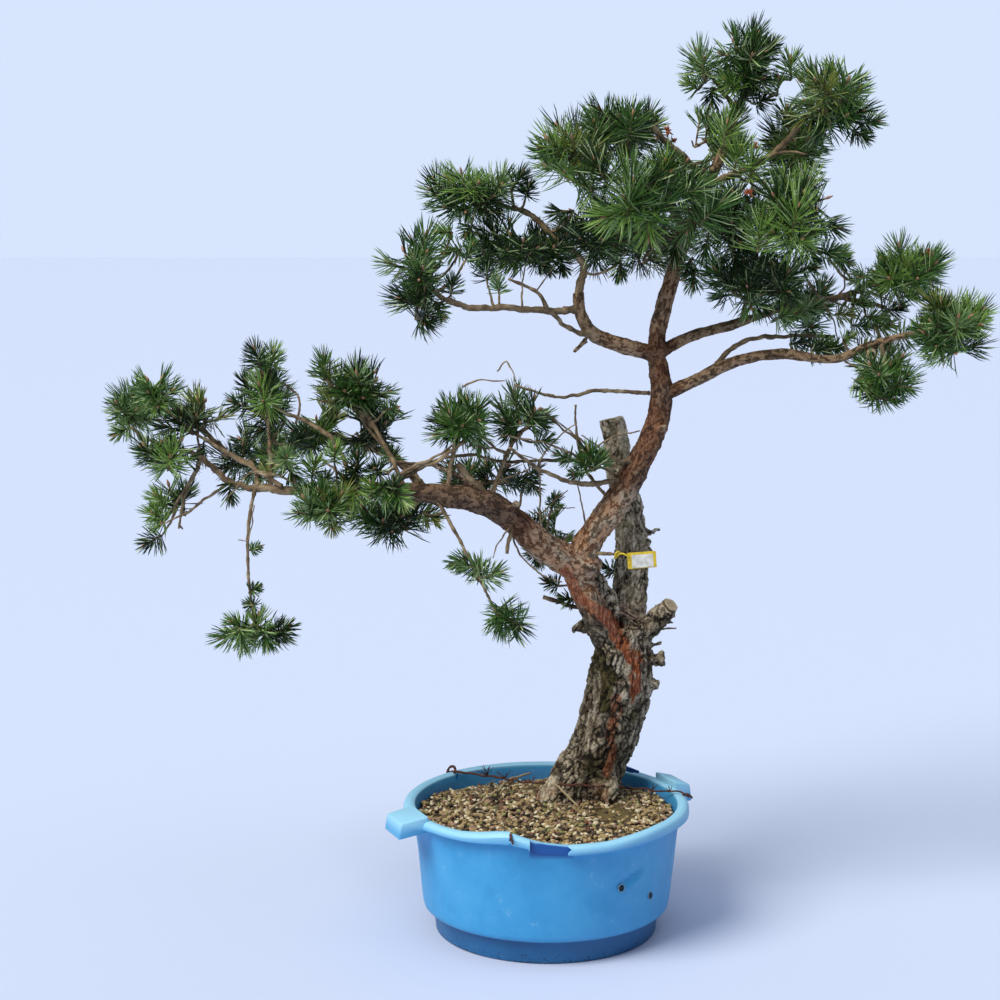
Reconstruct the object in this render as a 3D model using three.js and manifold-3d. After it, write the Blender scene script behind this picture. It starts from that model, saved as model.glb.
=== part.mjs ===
// A Scots pine grown as a bonsai, in a round plastic tub filled with grit.
// Millimetres, +Z up, origin at the centre of the tub's flat underside.
// +X is to the right and +Y is away from someone facing the tree.
import * as THREE from "three";
import { mergeVertices } from "three/addons/utils/BufferGeometryUtils.js";
import Module from "manifold-3d";

const wasm = await Module();
wasm.setup();

// Driving dimensions
const gap = 0.3; // between pieces that touch on the real tree
const tub = {
  height: 192,
  rimRadius: 210,
  footRadius: 163,
  footHeight: 34,
  wall: 4,
  floor: 6,
  turns: 28,
};
const soilTop = 176;
const tagTwigEnd = 103; // the X at which the tag's twig ends and its strap begins
const goldenAngle = Math.PI * (3 - Math.sqrt(5));
const insetShare = 0.75; // of a tuft's reach, from the edge of its mass to its middle
const xAxis = 0;
const zAxis = 2;

// Each carrying lug's angle about +Z in degrees and its reach past the rim, and the stretch of rim that broke off
const lug = { places: [[24, 20], [200, 36]], length: 62, tipLength: 46, bottom: 169, top: 196 };
const brokenRim = { left: -27, right: 34, inner: 197.5, bottom: 170 };

const colours = {
  tub: 0x4a9ce2,
  grit: 0xa58e62,
  oldBark: 0x6e6257,
  liveBark: 0xa8704a,
  twigBark: 0x7d6a55,
  needles: 0x3c6a3c,
  tag: 0xe8c531,
};

function material(colour, roughness) {
  return new THREE.MeshStandardMaterial({ color: colour, roughness, metalness: 0 });
}

// Numbers between 0 and 1 that are the same on each run
function seeded(seed) {
  let state = seed * 7919 + 17;
  return () => {
    state = (state * 16807) % 2147483647;
    return state / 2147483647;
  };
}

function solidOf(geometry) {
  geometry.deleteAttribute("normal");
  geometry.deleteAttribute("uv");
  const merged = mergeVertices(geometry, 1e-4);
  return new wasm.Manifold(new wasm.Mesh({
    numProp: 3,
    vertProperties: new Float32Array(merged.attributes.position.array),
    triVerts: new Uint32Array(merged.index.array),
  }));
}

function geometryOf(solid) {
  const { vertProperties, triVerts } = solid.getMesh();
  const geometry = new THREE.BufferGeometry();
  geometry.setAttribute("position", new THREE.BufferAttribute(vertProperties, 3));
  geometry.setIndex(new THREE.BufferAttribute(triVerts, 1));
  geometry.computeVertexNormals();
  return geometry;
}

// The piece with the most material, once cutting has left loose scraps
function largest(solid) {
  const pieces = solid.decompose();
  return pieces.reduce((best, piece) => (piece.volume() > best.volume() ? piece : best));
}

const toVector = (place) => new THREE.Vector3(...place);

// A smooth line through a few places
function lineThrough(places) {
  return new THREE.CatmullRomCurve3(places.map(toVector), false, "centripetal");
}

// The value at share t of a short list of sizes spread evenly along a limb
function sizeAt(sizes, t) {
  const place = t * (sizes.length - 1);
  const index = Math.min(Math.floor(place), sizes.length - 2);
  return THREE.MathUtils.lerp(sizes[index], sizes[index + 1], place - index);
}

// A cylinder bent to pass through rings, each with its place, tangent and a radius for angle a
function bentGeometry(rings, sides) {
  const steps = rings.length - 1;
  const geometry = new THREE.CylinderGeometry(1, 1, 1, sides, steps);
  const first = rings[0].tangent;
  const across = new THREE.Vector3(0, 1, 0).cross(first);
  if (across.length() < 0.3) across.set(1, 0, 0);
  const frames = rings.map(({ tangent }) => {
    across.addScaledVector(tangent, -across.dot(tangent)).normalize();
    return { across: across.clone(), beside: across.clone().cross(tangent) };
  });
  const places = geometry.attributes.position;
  for (let i = 0; i < places.count; i += 1) {
    const ring = Math.round((places.getY(i) + 0.5) * steps);
    const angle = Math.atan2(places.getZ(i), places.getX(i));
    const radius = Math.hypot(places.getX(i), places.getZ(i)) * rings[ring].radius(angle);
    const point = rings[ring].place.clone();
    point.addScaledVector(frames[ring].across, radius * Math.cos(angle));
    point.addScaledVector(frames[ring].beside, radius * Math.sin(angle));
    places.setXYZ(i, point.x, point.y, point.z);
  }
  return geometry;
}

// A limb along a line: sizeFor gives its radius at share t and angle a, and grow widens it on all sides
function bentCylinder(line, sizeFor, sides, steps, grow = 0) {
  const rings = [];
  for (let i = 0; i <= steps; i += 1) {
    const tangent = line.getTangentAt(i / steps);
    const past = i === 0 ? -grow : i === steps ? grow : 0;
    rings.push({
      tangent,
      place: line.getPointAt(i / steps).addScaledVector(tangent, past),
      radius: (angle) => sizeFor(i / steps, angle) + grow,
    });
  }
  return solidOf(bentGeometry(rings, sides));
}

// Tub and grit

function turned(profile) {
  const points = profile.map(([radius, height]) => new THREE.Vector2(radius, height));
  return solidOf(new THREE.LatheGeometry(points, tub.turns).rotateX(Math.PI / 2));
}

function tubSolid() {
  const { height, rimRadius, footRadius, footHeight, wall, floor } = tub;
  const shell = turned([
    [0, 0], [footRadius, 0], [footRadius + 3, footHeight],
    [footRadius + 11, footHeight + 2], [footRadius + 19, footHeight + 9],
    [rimRadius - 15, height - 24], [rimRadius - 2, height - 18], [rimRadius, height - 8],
    [rimRadius - 5, height], [rimRadius - 14, height], [rimRadius - 19, height - 8],
    [footRadius + 11, footHeight + 10], [footRadius - 1, footHeight + floor],
    [footRadius - wall, floor], [0, floor],
  ]);
  const withLugs = lug.places.reduce((solid, [angle, reach]) => solid.add(lugSolid(angle, reach)), shell);
  const missing = solidOf(new THREE.BoxGeometry(
    brokenRim.right - brokenRim.left, 40, height - brokenRim.bottom + 10,
  ).translate(
    (brokenRim.right + brokenRim.left) / 2,
    -brokenRim.inner - 20,
    (height + brokenRim.bottom + 10) / 2,
  ));
  return withLugs.subtract(missing);
}

// A carrying lug: a block that narrows outwards, standing a little above the rolled rim
function lugSolid(angle, reach) {
  const inner = tub.rimRadius - 12;
  const outer = tub.rimRadius + reach;
  const outline = new THREE.Shape([
    new THREE.Vector2(inner, -lug.length / 2),
    new THREE.Vector2(outer, -lug.tipLength / 2),
    new THREE.Vector2(outer, lug.tipLength / 2),
    new THREE.Vector2(inner, lug.length / 2),
  ]);
  const block = new THREE.ExtrudeGeometry(outline, { depth: lug.top - lug.bottom, bevelEnabled: false });
  block.translate(0, 0, lug.bottom);
  block.rotateZ(THREE.MathUtils.degToRad(angle));
  return solidOf(block);
}

function gritSolid() {
  const { height, rimRadius, footRadius, footHeight, wall, floor } = tub;
  const slope = (soilTop - footHeight - 10) / (height - 8 - footHeight - 10);
  const topRadius = THREE.MathUtils.lerp(footRadius + 11, rimRadius - 19, slope);
  return turned([
    [0, floor + gap], [footRadius - wall - 2 * gap, floor + gap],
    [footRadius - 1 - 2 * gap, footHeight + floor], [footRadius + 11 - 2 * gap, footHeight + 10],
    [topRadius - 2 * gap, soilTop], [0, soilTop],
  ]);
}

// Limbs. Each follows a few places from its foot to its end, with its radius at even steps between.
// "from" names the limbs that its foot is cut to, and "stubs" are short ends fused on.
const limbs = [
  {
    name: "trunk", bark: colours.oldBark, sides: 10, steps: 6, flare: 9,
    places: [[48, 85, 150], [72, 85, 215], [92, 84, 266], [106, 82, 321], [115, 80, 371], [118, 80, 416]],
    radii: [50, 48, 46, 48, 48, 40],
    stubs: [
      { places: [[130, 82, 385], [152, 86, 418], [187, 92, 462]], radii: [17, 16, 13] },
      { places: [[120, 60, 372], [176, 62, 396]], radii: [11, 4] },
      { places: [[80, 75, 440], [42, 72, 432]], radii: [14, 4] },
      { places: [[110, 80, 190], [134, 62, 196]], radii: [22, 13] },
    ],
  },
  {
    name: "old_leader", bark: colours.oldBark, sides: 7, steps: 5, from: ["trunk"],
    places: [[121, 86, 395], [128, 98, 486], [130, 108, 560], [123, 112, 612], [108, 116, 673], [96, 118, 742]],
    radii: [30, 28, 27.5, 24, 21, 18],
    stubs: [
      { places: [[140, 108, 566], [174, 108, 578]], radii: [9, 5] },
      { places: [[150, 104, 545], [162, 98, 549]], radii: [10, 5] },
    ],
  },
  {
    name: "live_leader_lower", bark: colours.liveBark, sides: 7, steps: 6, from: ["trunk", "old_leader"],
    places: [[100, 66, 405], [76, 50, 470], [52, 38, 527], [64, 34, 572], [98, 38, 622]],
    radii: [26, 23, 22, 21.5, 21],
    stubs: [{ places: [[60, 26, 556], [82, 11, 556], [94, 8, 556], [tagTwigEnd, 8, 556]], radii: [3.2, 2.2] }],
  },
  {
    name: "live_leader_upper", bark: colours.liveBark, sides: 7, steps: 7, from: ["live_leader_lower"],
    places: [[94, 38, 616], [131, 50, 677], [156, 58, 728], [166, 66, 770], [166, 70, 812], [159, 74, 848]],
    radii: [21, 19.5, 18, 17.5, 16, 13.5],
    stubs: [
      { places: [[156, 54, 735], [172, 30, 737]], radii: [10, 5] },
      { places: [[150, 62, 786], [76, 32, 792], [18, 4, 786], [-47, -20, 805]], radii: [3.4, 2.6, 1.8] },
      { places: [[104, 40, 660], [48, 0, 661], [-11, -52, 689], [-56, -84, 724]], radii: [4.4, 3.4, 1.8] },
    ],
  },
  {
    name: "top_leader", bark: colours.liveBark, sides: 6, steps: 9, from: ["live_leader_upper"],
    places: [[160, 74, 842], [164, 80, 884], [181, 90, 942], [201, 95, 1007], [231, 92, 1079], [261, 84, 1151], [284, 74, 1226]],
    radii: [13, 12, 11, 8.5, 6.5, 3],
  },
  {
    name: "upper_left_bough", bark: colours.liveBark, sides: 6, steps: 6, from: ["live_leader_upper", "top_leader"],
    places: [[156, 72, 844], [106, 55, 857], [65, 40, 875], [47, 31, 905], [44, 28, 934]],
    radii: [13, 11.5, 10, 8],
    stubs: [{ places: [[56, 36, 866], [38, 30, 848]], radii: [5, 3] }],
  },
  {
    name: "upper_left_arm", bark: colours.twigBark, sides: 5, steps: 6, from: ["upper_left_bough"],
    places: [[46, 30, 910], [-4, 10, 909], [-61, -10, 915], [-110, -22, 915], [-148, -28, 928]],
    radii: [6, 5, 4.5, 4],
    stubs: [{ places: [[42, 26, 872], [8, -4, 904], [-18, -20, 938], [-56, -36, 956]], radii: [3.4, 3, 2] }],
  },
  {
    name: "upper_left_neck", bark: colours.twigBark, sides: 5, steps: 7, from: ["upper_left_bough"],
    places: [[44, 28, 928], [50, 40, 977], [11, 52, 1012], [-28, 60, 1047], [-61, 62, 1056]],
    radii: [7, 5.5, 4.6, 3.6],
  },
  {
    name: "right_bough", bark: colours.liveBark, sides: 6, steps: 4, from: ["live_leader_upper", "top_leader", "upper_left_bough"],
    places: [[162, 76, 842], [211, 90, 866], [271, 104, 882], [331, 110, 901]],
    radii: [10, 8.5, 7.5, 6],
  },
  {
    name: "right_outer_bough", bark: colours.twigBark, sides: 5, steps: 6, from: ["right_bough"],
    places: [[331.4, 110, 901.2], [370, 104, 912], [415, 90, 920], [448, 78, 931]],
    radii: [6, 5.2, 4.4],
    stubs: [{ places: [[428, 86, 924], [462, 92, 918], [500, 98, 908]], radii: [4, 3] }],
  },
  {
    name: "low_right_bough", bark: colours.liveBark, sides: 6, steps: 9, from: ["live_leader_upper"],
    places: [[172, 68, 783], [217, 60, 805], [273, 48, 833], [335, 28, 846], [411, 5, 840], [458, -10, 862], [508, -22, 877]],
    radii: [11, 9.5, 8, 7, 6, 4.6],
    stubs: [{ places: [[240, 56, 820], [280, 62, 858], [350, 60, 870], [420, 66, 868]], radii: [4, 3.4, 2.4] }],
  },
  {
    name: "crown_right_limb", bark: colours.twigBark, sides: 5, steps: 5, from: ["top_leader"],
    places: [[234, 92, 1086], [299, 66, 1115], [338, 40, 1145], [368, 20, 1186]],
    radii: [6.5, 5, 4.4, 3.6],
  },
  {
    name: "crown_left_limb", bark: colours.twigBark, sides: 5, steps: 5, from: ["top_leader"],
    places: [[206, 94, 1020], [155, 62, 1075], [89, 35, 1098], [40, 20, 1118]],
    radii: [7, 6, 5, 3.6],
  },
  {
    name: "low_left_bough", bark: colours.liveBark, sides: 7, steps: 6, from: ["live_leader_lower", "trunk", "old_leader"],
    places: [[58, 40, 527], [-3, 15, 565], [-46, -15, 611], [-89, -40, 643], [-153, -60, 658], [-209, -70, 662]],
    radii: [26, 20, 17, 15, 13, 10.5],
    stubs: [
      { places: [[-80, -36, 636], [-110, -44, 668], [-172, -60, 702]], radii: [6.5, 5, 3.4] },
      { places: [[-60, -30, 624], [-44, -50, 640]], radii: [7, 4] },
      { places: [[-50, -28, 606], [-58, -40, 566]], radii: [3.6, 2.4] },
    ],
  },
  {
    name: "low_left_outer_bough", bark: colours.twigBark, sides: 5, steps: 9, from: ["low_left_bough"],
    places: [[-209.4, -70, 662], [-293, -66, 659], [-380, -50, 659], [-452, -32, 668], [-497, -15, 702], [-556, 0, 720]],
    radii: [8, 6.4, 6, 5, 4, 3],
  },
  {
    name: "far_left_arm", bark: colours.twigBark, sides: 5, steps: 6, from: ["low_left_outer_bough"],
    places: [[-412, -42, 662], [-418, -25, 686], [-464, 5, 709], [-510, 30, 743], [-556, 44, 766]],
    radii: [4.6, 4, 3.6, 3],
  },
  {
    name: "low_left_rear_arm", bark: colours.twigBark, sides: 5, steps: 6, from: ["low_left_bough", "low_left_outer_bough"],
    places: [[-176, -62, 662], [-206, 0, 688], [-262, 62, 706], [-330, 104, 716]],
    radii: [7, 6, 5, 3.6],
  },
];

function limbSolid(limb, grow = 0) {
  const flared = (t, angle) => {
    const lobes = 1 + 0.35 * Math.cos(3 * angle + 0.6) + 0.2 * Math.cos(5 * angle);
    return sizeAt(limb.radii, t) + (limb.flare || 0) * lobes * Math.exp(-t * 9);
  };
  return bentCylinder(lineThrough(limb.places), flared, limb.sides, limb.steps, grow);
}

function stubSolid(stub, grow = 0) {
  const steps = stub.places.length > 2 ? 3 : 1;
  const sides = stub.radii[0] > 9 ? 6 : 4;
  return bentCylinder(lineThrough(stub.places), (t) => sizeAt(stub.radii, t), sides, steps, grow);
}

function wholeLimb(limb, grow = 0) {
  return (limb.stubs || []).reduce((solid, stub) => solid.add(stubSolid(stub, grow)), limbSolid(limb, grow));
}

// Tapered lengths that stand for a limb, twig or needle where two of them could meet
function lengthsAlong(line, sizes, steps, owner) {
  const lengths = [];
  for (let i = 0; i < steps; i += 1) {
    lengths.push({
      owner,
      foot: line.getPointAt(i / steps),
      tip: line.getPointAt((i + 1) / steps),
      footSize: sizeAt(sizes, i / steps),
      tipSize: sizeAt(sizes, (i + 1) / steps),
    });
  }
  return lengths;
}

// How far apart the surfaces of two tapered lengths are, from even places along the first
function clearBetween(one, other) {
  const span = other.tip.clone().sub(other.foot);
  let clear = Infinity;
  for (let i = 0; i <= 8; i += 1) {
    const place = one.foot.clone().lerp(one.tip, i / 8);
    const share = THREE.MathUtils.clamp(place.clone().sub(other.foot).dot(span) / span.lengthSq(), 0, 1);
    const apart = place.distanceTo(other.foot.clone().addScaledVector(span, share));
    const size = THREE.MathUtils.lerp(one.footSize, one.tipSize, i / 8);
    clear = Math.min(clear, apart - size - THREE.MathUtils.lerp(other.footSize, other.tipSize, share));
  }
  return clear;
}

function meetsAny(length, others, room, skipped) {
  const middle = length.foot.clone().add(length.tip).multiplyScalar(0.5);
  const reach = length.foot.distanceTo(length.tip) / 2 + length.footSize + room;
  return others.some((other) => {
    if (skipped(other)) return false;
    const otherMiddle = other.foot.clone().add(other.tip).multiplyScalar(0.5);
    const otherReach = other.foot.distanceTo(other.tip) / 2 + other.footSize;
    if (middle.distanceTo(otherMiddle) > reach + otherReach) return false;
    return clearBetween(length, other) < room;
  });
}

// Masses of needles. Each keeps to an ellipsoid: its middle, its half sizes and the reach of one tuft.
// Its stem leaves "limb" at share "at" of that limb's length, and "turn" sets the first tuft's angle.
const masses = [
  { name: "far_left_pad", limb: "far_left_arm", at: 1, middle: [-600, 50, 768], half: [42, 70, 48], tuft: 38, count: 4, turn: 0.4 },
  { name: "far_left_front_pad", limb: "far_left_arm", at: 0.8, middle: [-552, -50, 800], half: [38, 50, 36], tuft: 38, count: 2, turn: 1.2 },
  { name: "left_inner_pad", limb: "far_left_arm", at: 0.62, middle: [-505, 20, 752], half: [60, 60, 56], tuft: 38, count: 4, turn: 2.2 },
  { name: "left_tip_pad", limb: "low_left_outer_bough", at: 1, middle: [-540, -40, 708], half: [62, 60, 40], tuft: 36, count: 4, turn: 0.9 },
  { name: "left_low_pad", limb: "low_left_outer_bough", at: 0.82, middle: [-545, 50, 618], half: [62, 60, 56], tuft: 38, count: 4, turn: 2.6 },
  { name: "left_rear_pad", limb: "low_left_rear_arm", at: 1, middle: [-430, 120, 690], half: [76, 80, 52], tuft: 38, count: 5, turn: 0.2 },
  { name: "left_spire", limb: "low_left_outer_bough", at: 0.5, middle: [-398, -22, 792], half: [44, 60, 66], tuft: 40, count: 4, turn: 1.9 },
  { name: "left_middle_pad", limb: "low_left_rear_arm", at: 0.75, middle: [-340, 80, 735], half: [56, 66, 50], tuft: 38, count: 5, turn: 1.1 },
  { name: "left_top_pad", limb: "low_left_bough", at: 0.97, middle: [-278, -20, 806], half: [66, 62, 44], tuft: 40, count: 6, turn: 2.9 },
  { name: "left_near_pad", limb: "low_left_rear_arm", at: 0.35, middle: [-255, 36, 742], half: [66, 76, 52], tuft: 38, count: 6, turn: 0.7 },
  { name: "left_front_low_pad", limb: "low_left_outer_bough", at: 0.3, middle: [-312, -110, 648], half: [56, 52, 36], tuft: 36, count: 4, turn: 1.6 },
  { name: "left_under_pad", limb: "low_left_bough", at: 0.86, middle: [-228, 0, 612], half: [68, 66, 50], tuft: 38, count: 6, turn: 2.4 },
  { name: "hanging_left_twig", limb: "low_left_outer_bough", at: 0.58, middle: [-418, -54, 452], half: [54, 46, 38], tuft: 36, count: 3, turn: 0.3 },
  { name: "middle_left_pad", limb: "low_left_bough", at: 0.8, middle: [-124, -50, 762], half: [56, 60, 46], tuft: 36, count: 5, turn: 2.0 },
  { name: "middle_pad", limb: "low_left_bough", at: 0.6, middle: [-34, -10, 762], half: [58, 66, 52], tuft: 36, count: 5, turn: 0.5 },
  { name: "middle_low_pad", limb: "low_left_bough", at: 0.62, middle: [-100, 60, 668], half: [76, 60, 34], tuft: 32, count: 4, turn: 1.4 },
  { name: "leader_sprig", limb: "live_leader_upper", at: 0.3, middle: [62, -4, 702], half: [30, 30, 30], tuft: 30, count: 1, turn: 0 },
  { name: "hanging_middle_twig", limb: "low_left_bough", at: 0.9, middle: [-84, -96, 520], half: [56, 44, 74], tuft: 40, count: 3, turn: 2.7 },
  { name: "lower_rear_sprigs", limb: "low_left_bough", at: 0.3, middle: [2, 90, 572], half: [50, 50, 52], tuft: 29, count: 4, turn: 0.8 },
  { name: "upper_left_top_pad", limb: "upper_left_neck", at: 1, middle: [-112, 56, 1076], half: [84, 66, 54], tuft: 38, count: 6, turn: 1.3 },
  { name: "upper_left_tip_pad", limb: "upper_left_arm", at: 1, middle: [-184, -30, 956], half: [50, 66, 92], tuft: 40, count: 6, turn: 0.3 },
  { name: "upper_left_inner_pad", limb: "upper_left_neck", at: 0.5, middle: [-36, 50, 1000], half: [98, 90, 48], tuft: 38, count: 7, turn: 2.1 },
  { name: "crown_left_pad", limb: "crown_left_limb", at: 1, middle: [30, 6, 1130], half: [62, 84, 66], tuft: 44, count: 5, turn: 1.0 },
  { name: "crown_left_rear_pad", limb: "crown_left_limb", at: 0.5, middle: [110, 90, 1168], half: [74, 90, 54], tuft: 44, count: 6, turn: 1.9 },
  { name: "crown_front_burst", limb: "crown_left_limb", at: 0.42, middle: [112, -50, 1086], half: [60, 60, 60], tuft: 66, count: 1, turn: 0 },
  { name: "crown_left_under_pad", limb: "crown_left_limb", at: 0.25, middle: [78, 50, 1024], half: [84, 90, 64], tuft: 46, count: 6, turn: 0.6 },
  { name: "crown_middle_pad", limb: "top_leader", at: 0.66, middle: [176, 10, 1100], half: [64, 70, 62], tuft: 46, count: 5, turn: 1.7 },
  { name: "crown_rear_pad", limb: "top_leader", at: 0.42, middle: [150, 176, 1010], half: [96, 70, 60], tuft: 46, count: 5, turn: 2.8 },
  { name: "crown_tip", limb: "top_leader", at: 1, middle: [286, 62, 1266], half: [50, 66, 66], tuft: 42, count: 5, turn: 0.9 },
  { name: "crown_tip_side", limb: "top_leader", at: 0.9, middle: [216, 56, 1262], half: [44, 44, 44], tuft: 44, count: 1, turn: 0 },
  { name: "crown_upper_pad", limb: "top_leader", at: 0.8, middle: [240, 140, 1156], half: [72, 80, 58], tuft: 42, count: 6, turn: 1.5 },
  { name: "crown_right_tip_pad", limb: "crown_right_limb", at: 1, middle: [400, 8, 1210], half: [72, 80, 76], tuft: 44, count: 7, turn: 0.2 },
  { name: "crown_right_rear_pad", limb: "crown_right_limb", at: 0.6, middle: [362, 110, 1142], half: [64, 80, 62], tuft: 44, count: 6, turn: 2.2 },
  { name: "crown_right_front_pad", limb: "crown_right_limb", at: 0.35, middle: [352, -40, 1046], half: [80, 70, 82], tuft: 50, count: 5, turn: 1.2 },
  { name: "crown_right_under_pad", limb: "top_leader", at: 0.55, middle: [268, 70, 1042], half: [70, 90, 64], tuft: 44, count: 6, turn: 2.6 },
  { name: "right_inner_pad", limb: "right_bough", at: 0.75, middle: [302, 60, 952], half: [96, 100, 52], tuft: 42, count: 7, turn: 0.4 },
  { name: "right_middle_pad", limb: "right_outer_bough", at: 0.3, middle: [388, 150, 905], half: [60, 70, 60], tuft: 40, count: 4, turn: 1.8 },
  { name: "right_top_pad", limb: "right_outer_bough", at: 1, middle: [510, 60, 968], half: [92, 86, 50], tuft: 40, count: 7, turn: 0.7 },
  { name: "right_tip_pad", limb: "low_right_bough", at: 1, middle: [568, -30, 890], half: [72, 72, 66], tuft: 40, count: 7, turn: 2.0 },
  { name: "right_low_pad", limb: "low_right_bough", at: 0.9, middle: [480, -20, 822], half: [52, 66, 58], tuft: 38, count: 4, turn: 1.1 },
];

// The places and directions of a mass's tufts: evenly round its ellipsoid, from one golden spiral
function tuftsOf(mass) {
  const random = seeded(Math.round(mass.turn * 100) + mass.count);
  const pole = mass.half[zAxis] > mass.half[xAxis] ? zAxis : xAxis;
  const tufts = [];
  for (let k = 0; k < mass.count; k += 1) {
    const along = mass.count === 1 ? 0 : 1 - (2 * k + 1) / mass.count;
    const ring = mass.count === 1 ? 0 : Math.sqrt(1 - along * along);
    const angle = k * goldenAngle + mass.turn;
    const sides = [ring * Math.cos(angle), ring * Math.sin(angle)];
    const out = new THREE.Vector3(...(pole === zAxis ? [...sides, along] : [along, ...sides]));
    const room = mass.half.map((half) => Math.max(half - mass.tuft * insetShare, 0));
    const place = out.clone().multiply(toVector(room)).add(toVector(mass.middle));
    const direction = out.multiplyScalar(0.8);
    direction.add(new THREE.Vector3(random() * 0.5 - 0.25, random() * 0.5 - 0.45, 0.75));
    tufts.push({ place, direction: direction.normalize(), reach: mass.tuft * (0.9 + 0.2 * random()) });
  }
  return tufts;
}

const tuftCore = { radius: 5, share: 0.58, sides: 3 };
const twig = { radius: 2, firstShare: 0.62, lastShare: 0.96 };
const stem = { sizes: [4.6, 4.2], sides: 4, steps: 2, share: 0.78 };
const needle = { share: 1.1, lowSweep: 78, highSweep: 22, room: 1 };

// The stem from the limb towards the middle of the mass, and a twig from it to each tuft
function twigsOf(mass, limbLine) {
  const foot = limbLine.getPointAt(mass.at);
  const away = toVector(mass.middle).sub(foot).multiplyScalar(stem.share);
  const rise = new THREE.Vector3(0, 0, Math.sign(away.z) * away.length() * 0.06);
  const bend = foot.clone().addScaledVector(away, 0.5).add(rise);
  const stemLine = new THREE.QuadraticBezierCurve3(foot, bend, foot.clone().add(away));
  const twigs = tuftsOf(mass).map((tuft, k) => {
    const share = THREE.MathUtils.lerp(twig.lastShare, twig.firstShare, (k * 0.618) % 1);
    const start = stemLine.getPointAt(share);
    const half = tuft.reach * tuftCore.share / 2;
    const foot = tuft.place.clone().addScaledVector(tuft.direction, -half);
    const tip = tuft.place.clone().addScaledVector(tuft.direction, half);
    return { ...tuft, start, foot, tip };
  });
  return { stemLine, twigs };
}

// A twig that ends in a slim core, whose faces are drawn out to needles where "allowed" lets them
function tuftGeometry(tuft, random, allowed) {
  const { direction, start, foot, tip, place } = tuft;
  const rings = [
    { place: start, tangent: foot.clone().sub(start).normalize(), radius: () => twig.radius },
    { place: foot, tangent: direction, radius: () => tuftCore.radius * 0.8 },
    { place, tangent: direction, radius: () => tuftCore.radius },
    { place: tip, tangent: direction, radius: () => tuftCore.radius * 0.7 },
  ];
  const core = bentGeometry(rings, tuftCore.sides);
  core.deleteAttribute("normal");
  core.deleteAttribute("uv");
  const merged = mergeVertices(core, 1e-4);
  const places = Array.from(merged.attributes.position.array);
  const faces = [];
  const needles = [];
  for (let i = 0; i < merged.index.count; i += 3) {
    const corners = [0, 1, 2].map((j) => merged.index.getX(i + j));
    const points = corners.map((corner) => new THREE.Vector3().fromArray(places, corner * 3));
    const root = points.reduce((sum, point) => sum.add(point), new THREE.Vector3()).divideScalar(3);
    const height = root.clone().sub(foot).dot(direction) / foot.distanceTo(tip);
    const size = Math.max(...points.map((point) => point.distanceTo(root))) * 0.7;
    const apex = needleTip(tuft, root, height, random);
    const blade = { owner: tuft, foot: root, tip: apex, footSize: size, tipSize: 0.2 };
    if (height < 0 || !allowed(blade)) {
      faces.push(...corners);
    } else {
      const top = places.length / 3;
      places.push(apex.x, apex.y, apex.z);
      needles.push(blade);
      for (let j = 0; j < 3; j += 1) faces.push(corners[j], corners[(j + 1) % 3], top);
    }
  }
  const geometry = new THREE.BufferGeometry();
  geometry.setAttribute("position", new THREE.Float32BufferAttribute(places, 3));
  geometry.setIndex(faces);
  return { geometry, needles };
}

function needleTip(tuft, root, height, random) {
  const sideways = root.clone().sub(tuft.place);
  sideways.addScaledVector(tuft.direction, -sideways.dot(tuft.direction)).normalize();
  const sweep = THREE.MathUtils.lerp(needle.lowSweep, needle.highSweep, height) + 12 * (random() - 0.5);
  const leaning = THREE.MathUtils.degToRad(sweep);
  const length = tuft.reach * needle.share * (0.88 + 0.24 * random());
  return root.clone()
    .addScaledVector(tuft.direction, length * Math.cos(leaning))
    .addScaledVector(sideways, length * Math.sin(leaning));
}

// The tag: a blank plate that hangs from a spur of the live leader by a strap
function tagSolid() {
  const strapFoot = [tagTwigEnd + gap, 8, 556];
  const plate = new THREE.BoxGeometry(42, 1.6, 24);
  plate.rotateY(THREE.MathUtils.degToRad(-4));
  plate.translate(138, 8, 548);
  const strap = bentCylinder(lineThrough([strapFoot, [tagTwigEnd + 5, 8, 556], [114, 7, 556], [122, 8, 551]]), () => 1.5, 4, 3);
  return solidOf(plate).add(strap);
}

const group = new THREE.Group();

function addPiece(name, solid, colour, roughness) {
  const mesh = new THREE.Mesh(geometryOf(solid), material(colour, roughness));
  mesh.name = name;
  group.add(mesh);
}

addPiece("tub", tubSolid(), colours.tub, 0.45);
addPiece("grit", gritSolid(), colours.grit, 0.95);

const limbLines = new Map();
const limbLengths = [];
for (const limb of limbs) {
  const line = lineThrough(limb.places);
  limbLines.set(limb.name, line);
  const feet = (limb.from || []).map((name) => limbs.find((other) => other.name === name));
  const cut = feet.reduce((solid, foot) => solid.subtract(wholeLimb(foot, gap)), wholeLimb(limb));
  const level = limb.name === "trunk" ? cut.trimByPlane([0, 0, 1], soilTop + gap) : cut;
  addPiece(limb.name, largest(level), limb.bark, 0.9);
  limbLengths.push(...lengthsAlong(line, limb.radii, limb.steps * 2, limb.name));
  for (const stub of limb.stubs || []) {
    limbLengths.push(...lengthsAlong(lineThrough(stub.places), stub.radii, 6, limb.name));
  }
}

// Stems first, then twigs, so that needles can stay clear of both
const woodLengths = [...limbLengths];

function twigLengths(tuft, owner) {
  const core = [tuftCore.radius, tuftCore.radius];
  return [
    ...lengthsAlong(new THREE.LineCurve3(tuft.start, tuft.foot), [twig.radius, tuftCore.radius], 3, owner),
    ...lengthsAlong(new THREE.LineCurve3(tuft.foot, tuft.tip), core, 2, owner),
  ].map((length) => ({ ...length, tuft }));
}

const planned = masses.map((mass) => {
  const plan = { mass, ...twigsOf(mass, limbLines.get(mass.limb)) };
  woodLengths.push(...lengthsAlong(plan.stemLine, stem.sizes, 6, mass.name));
  return plan;
});

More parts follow.
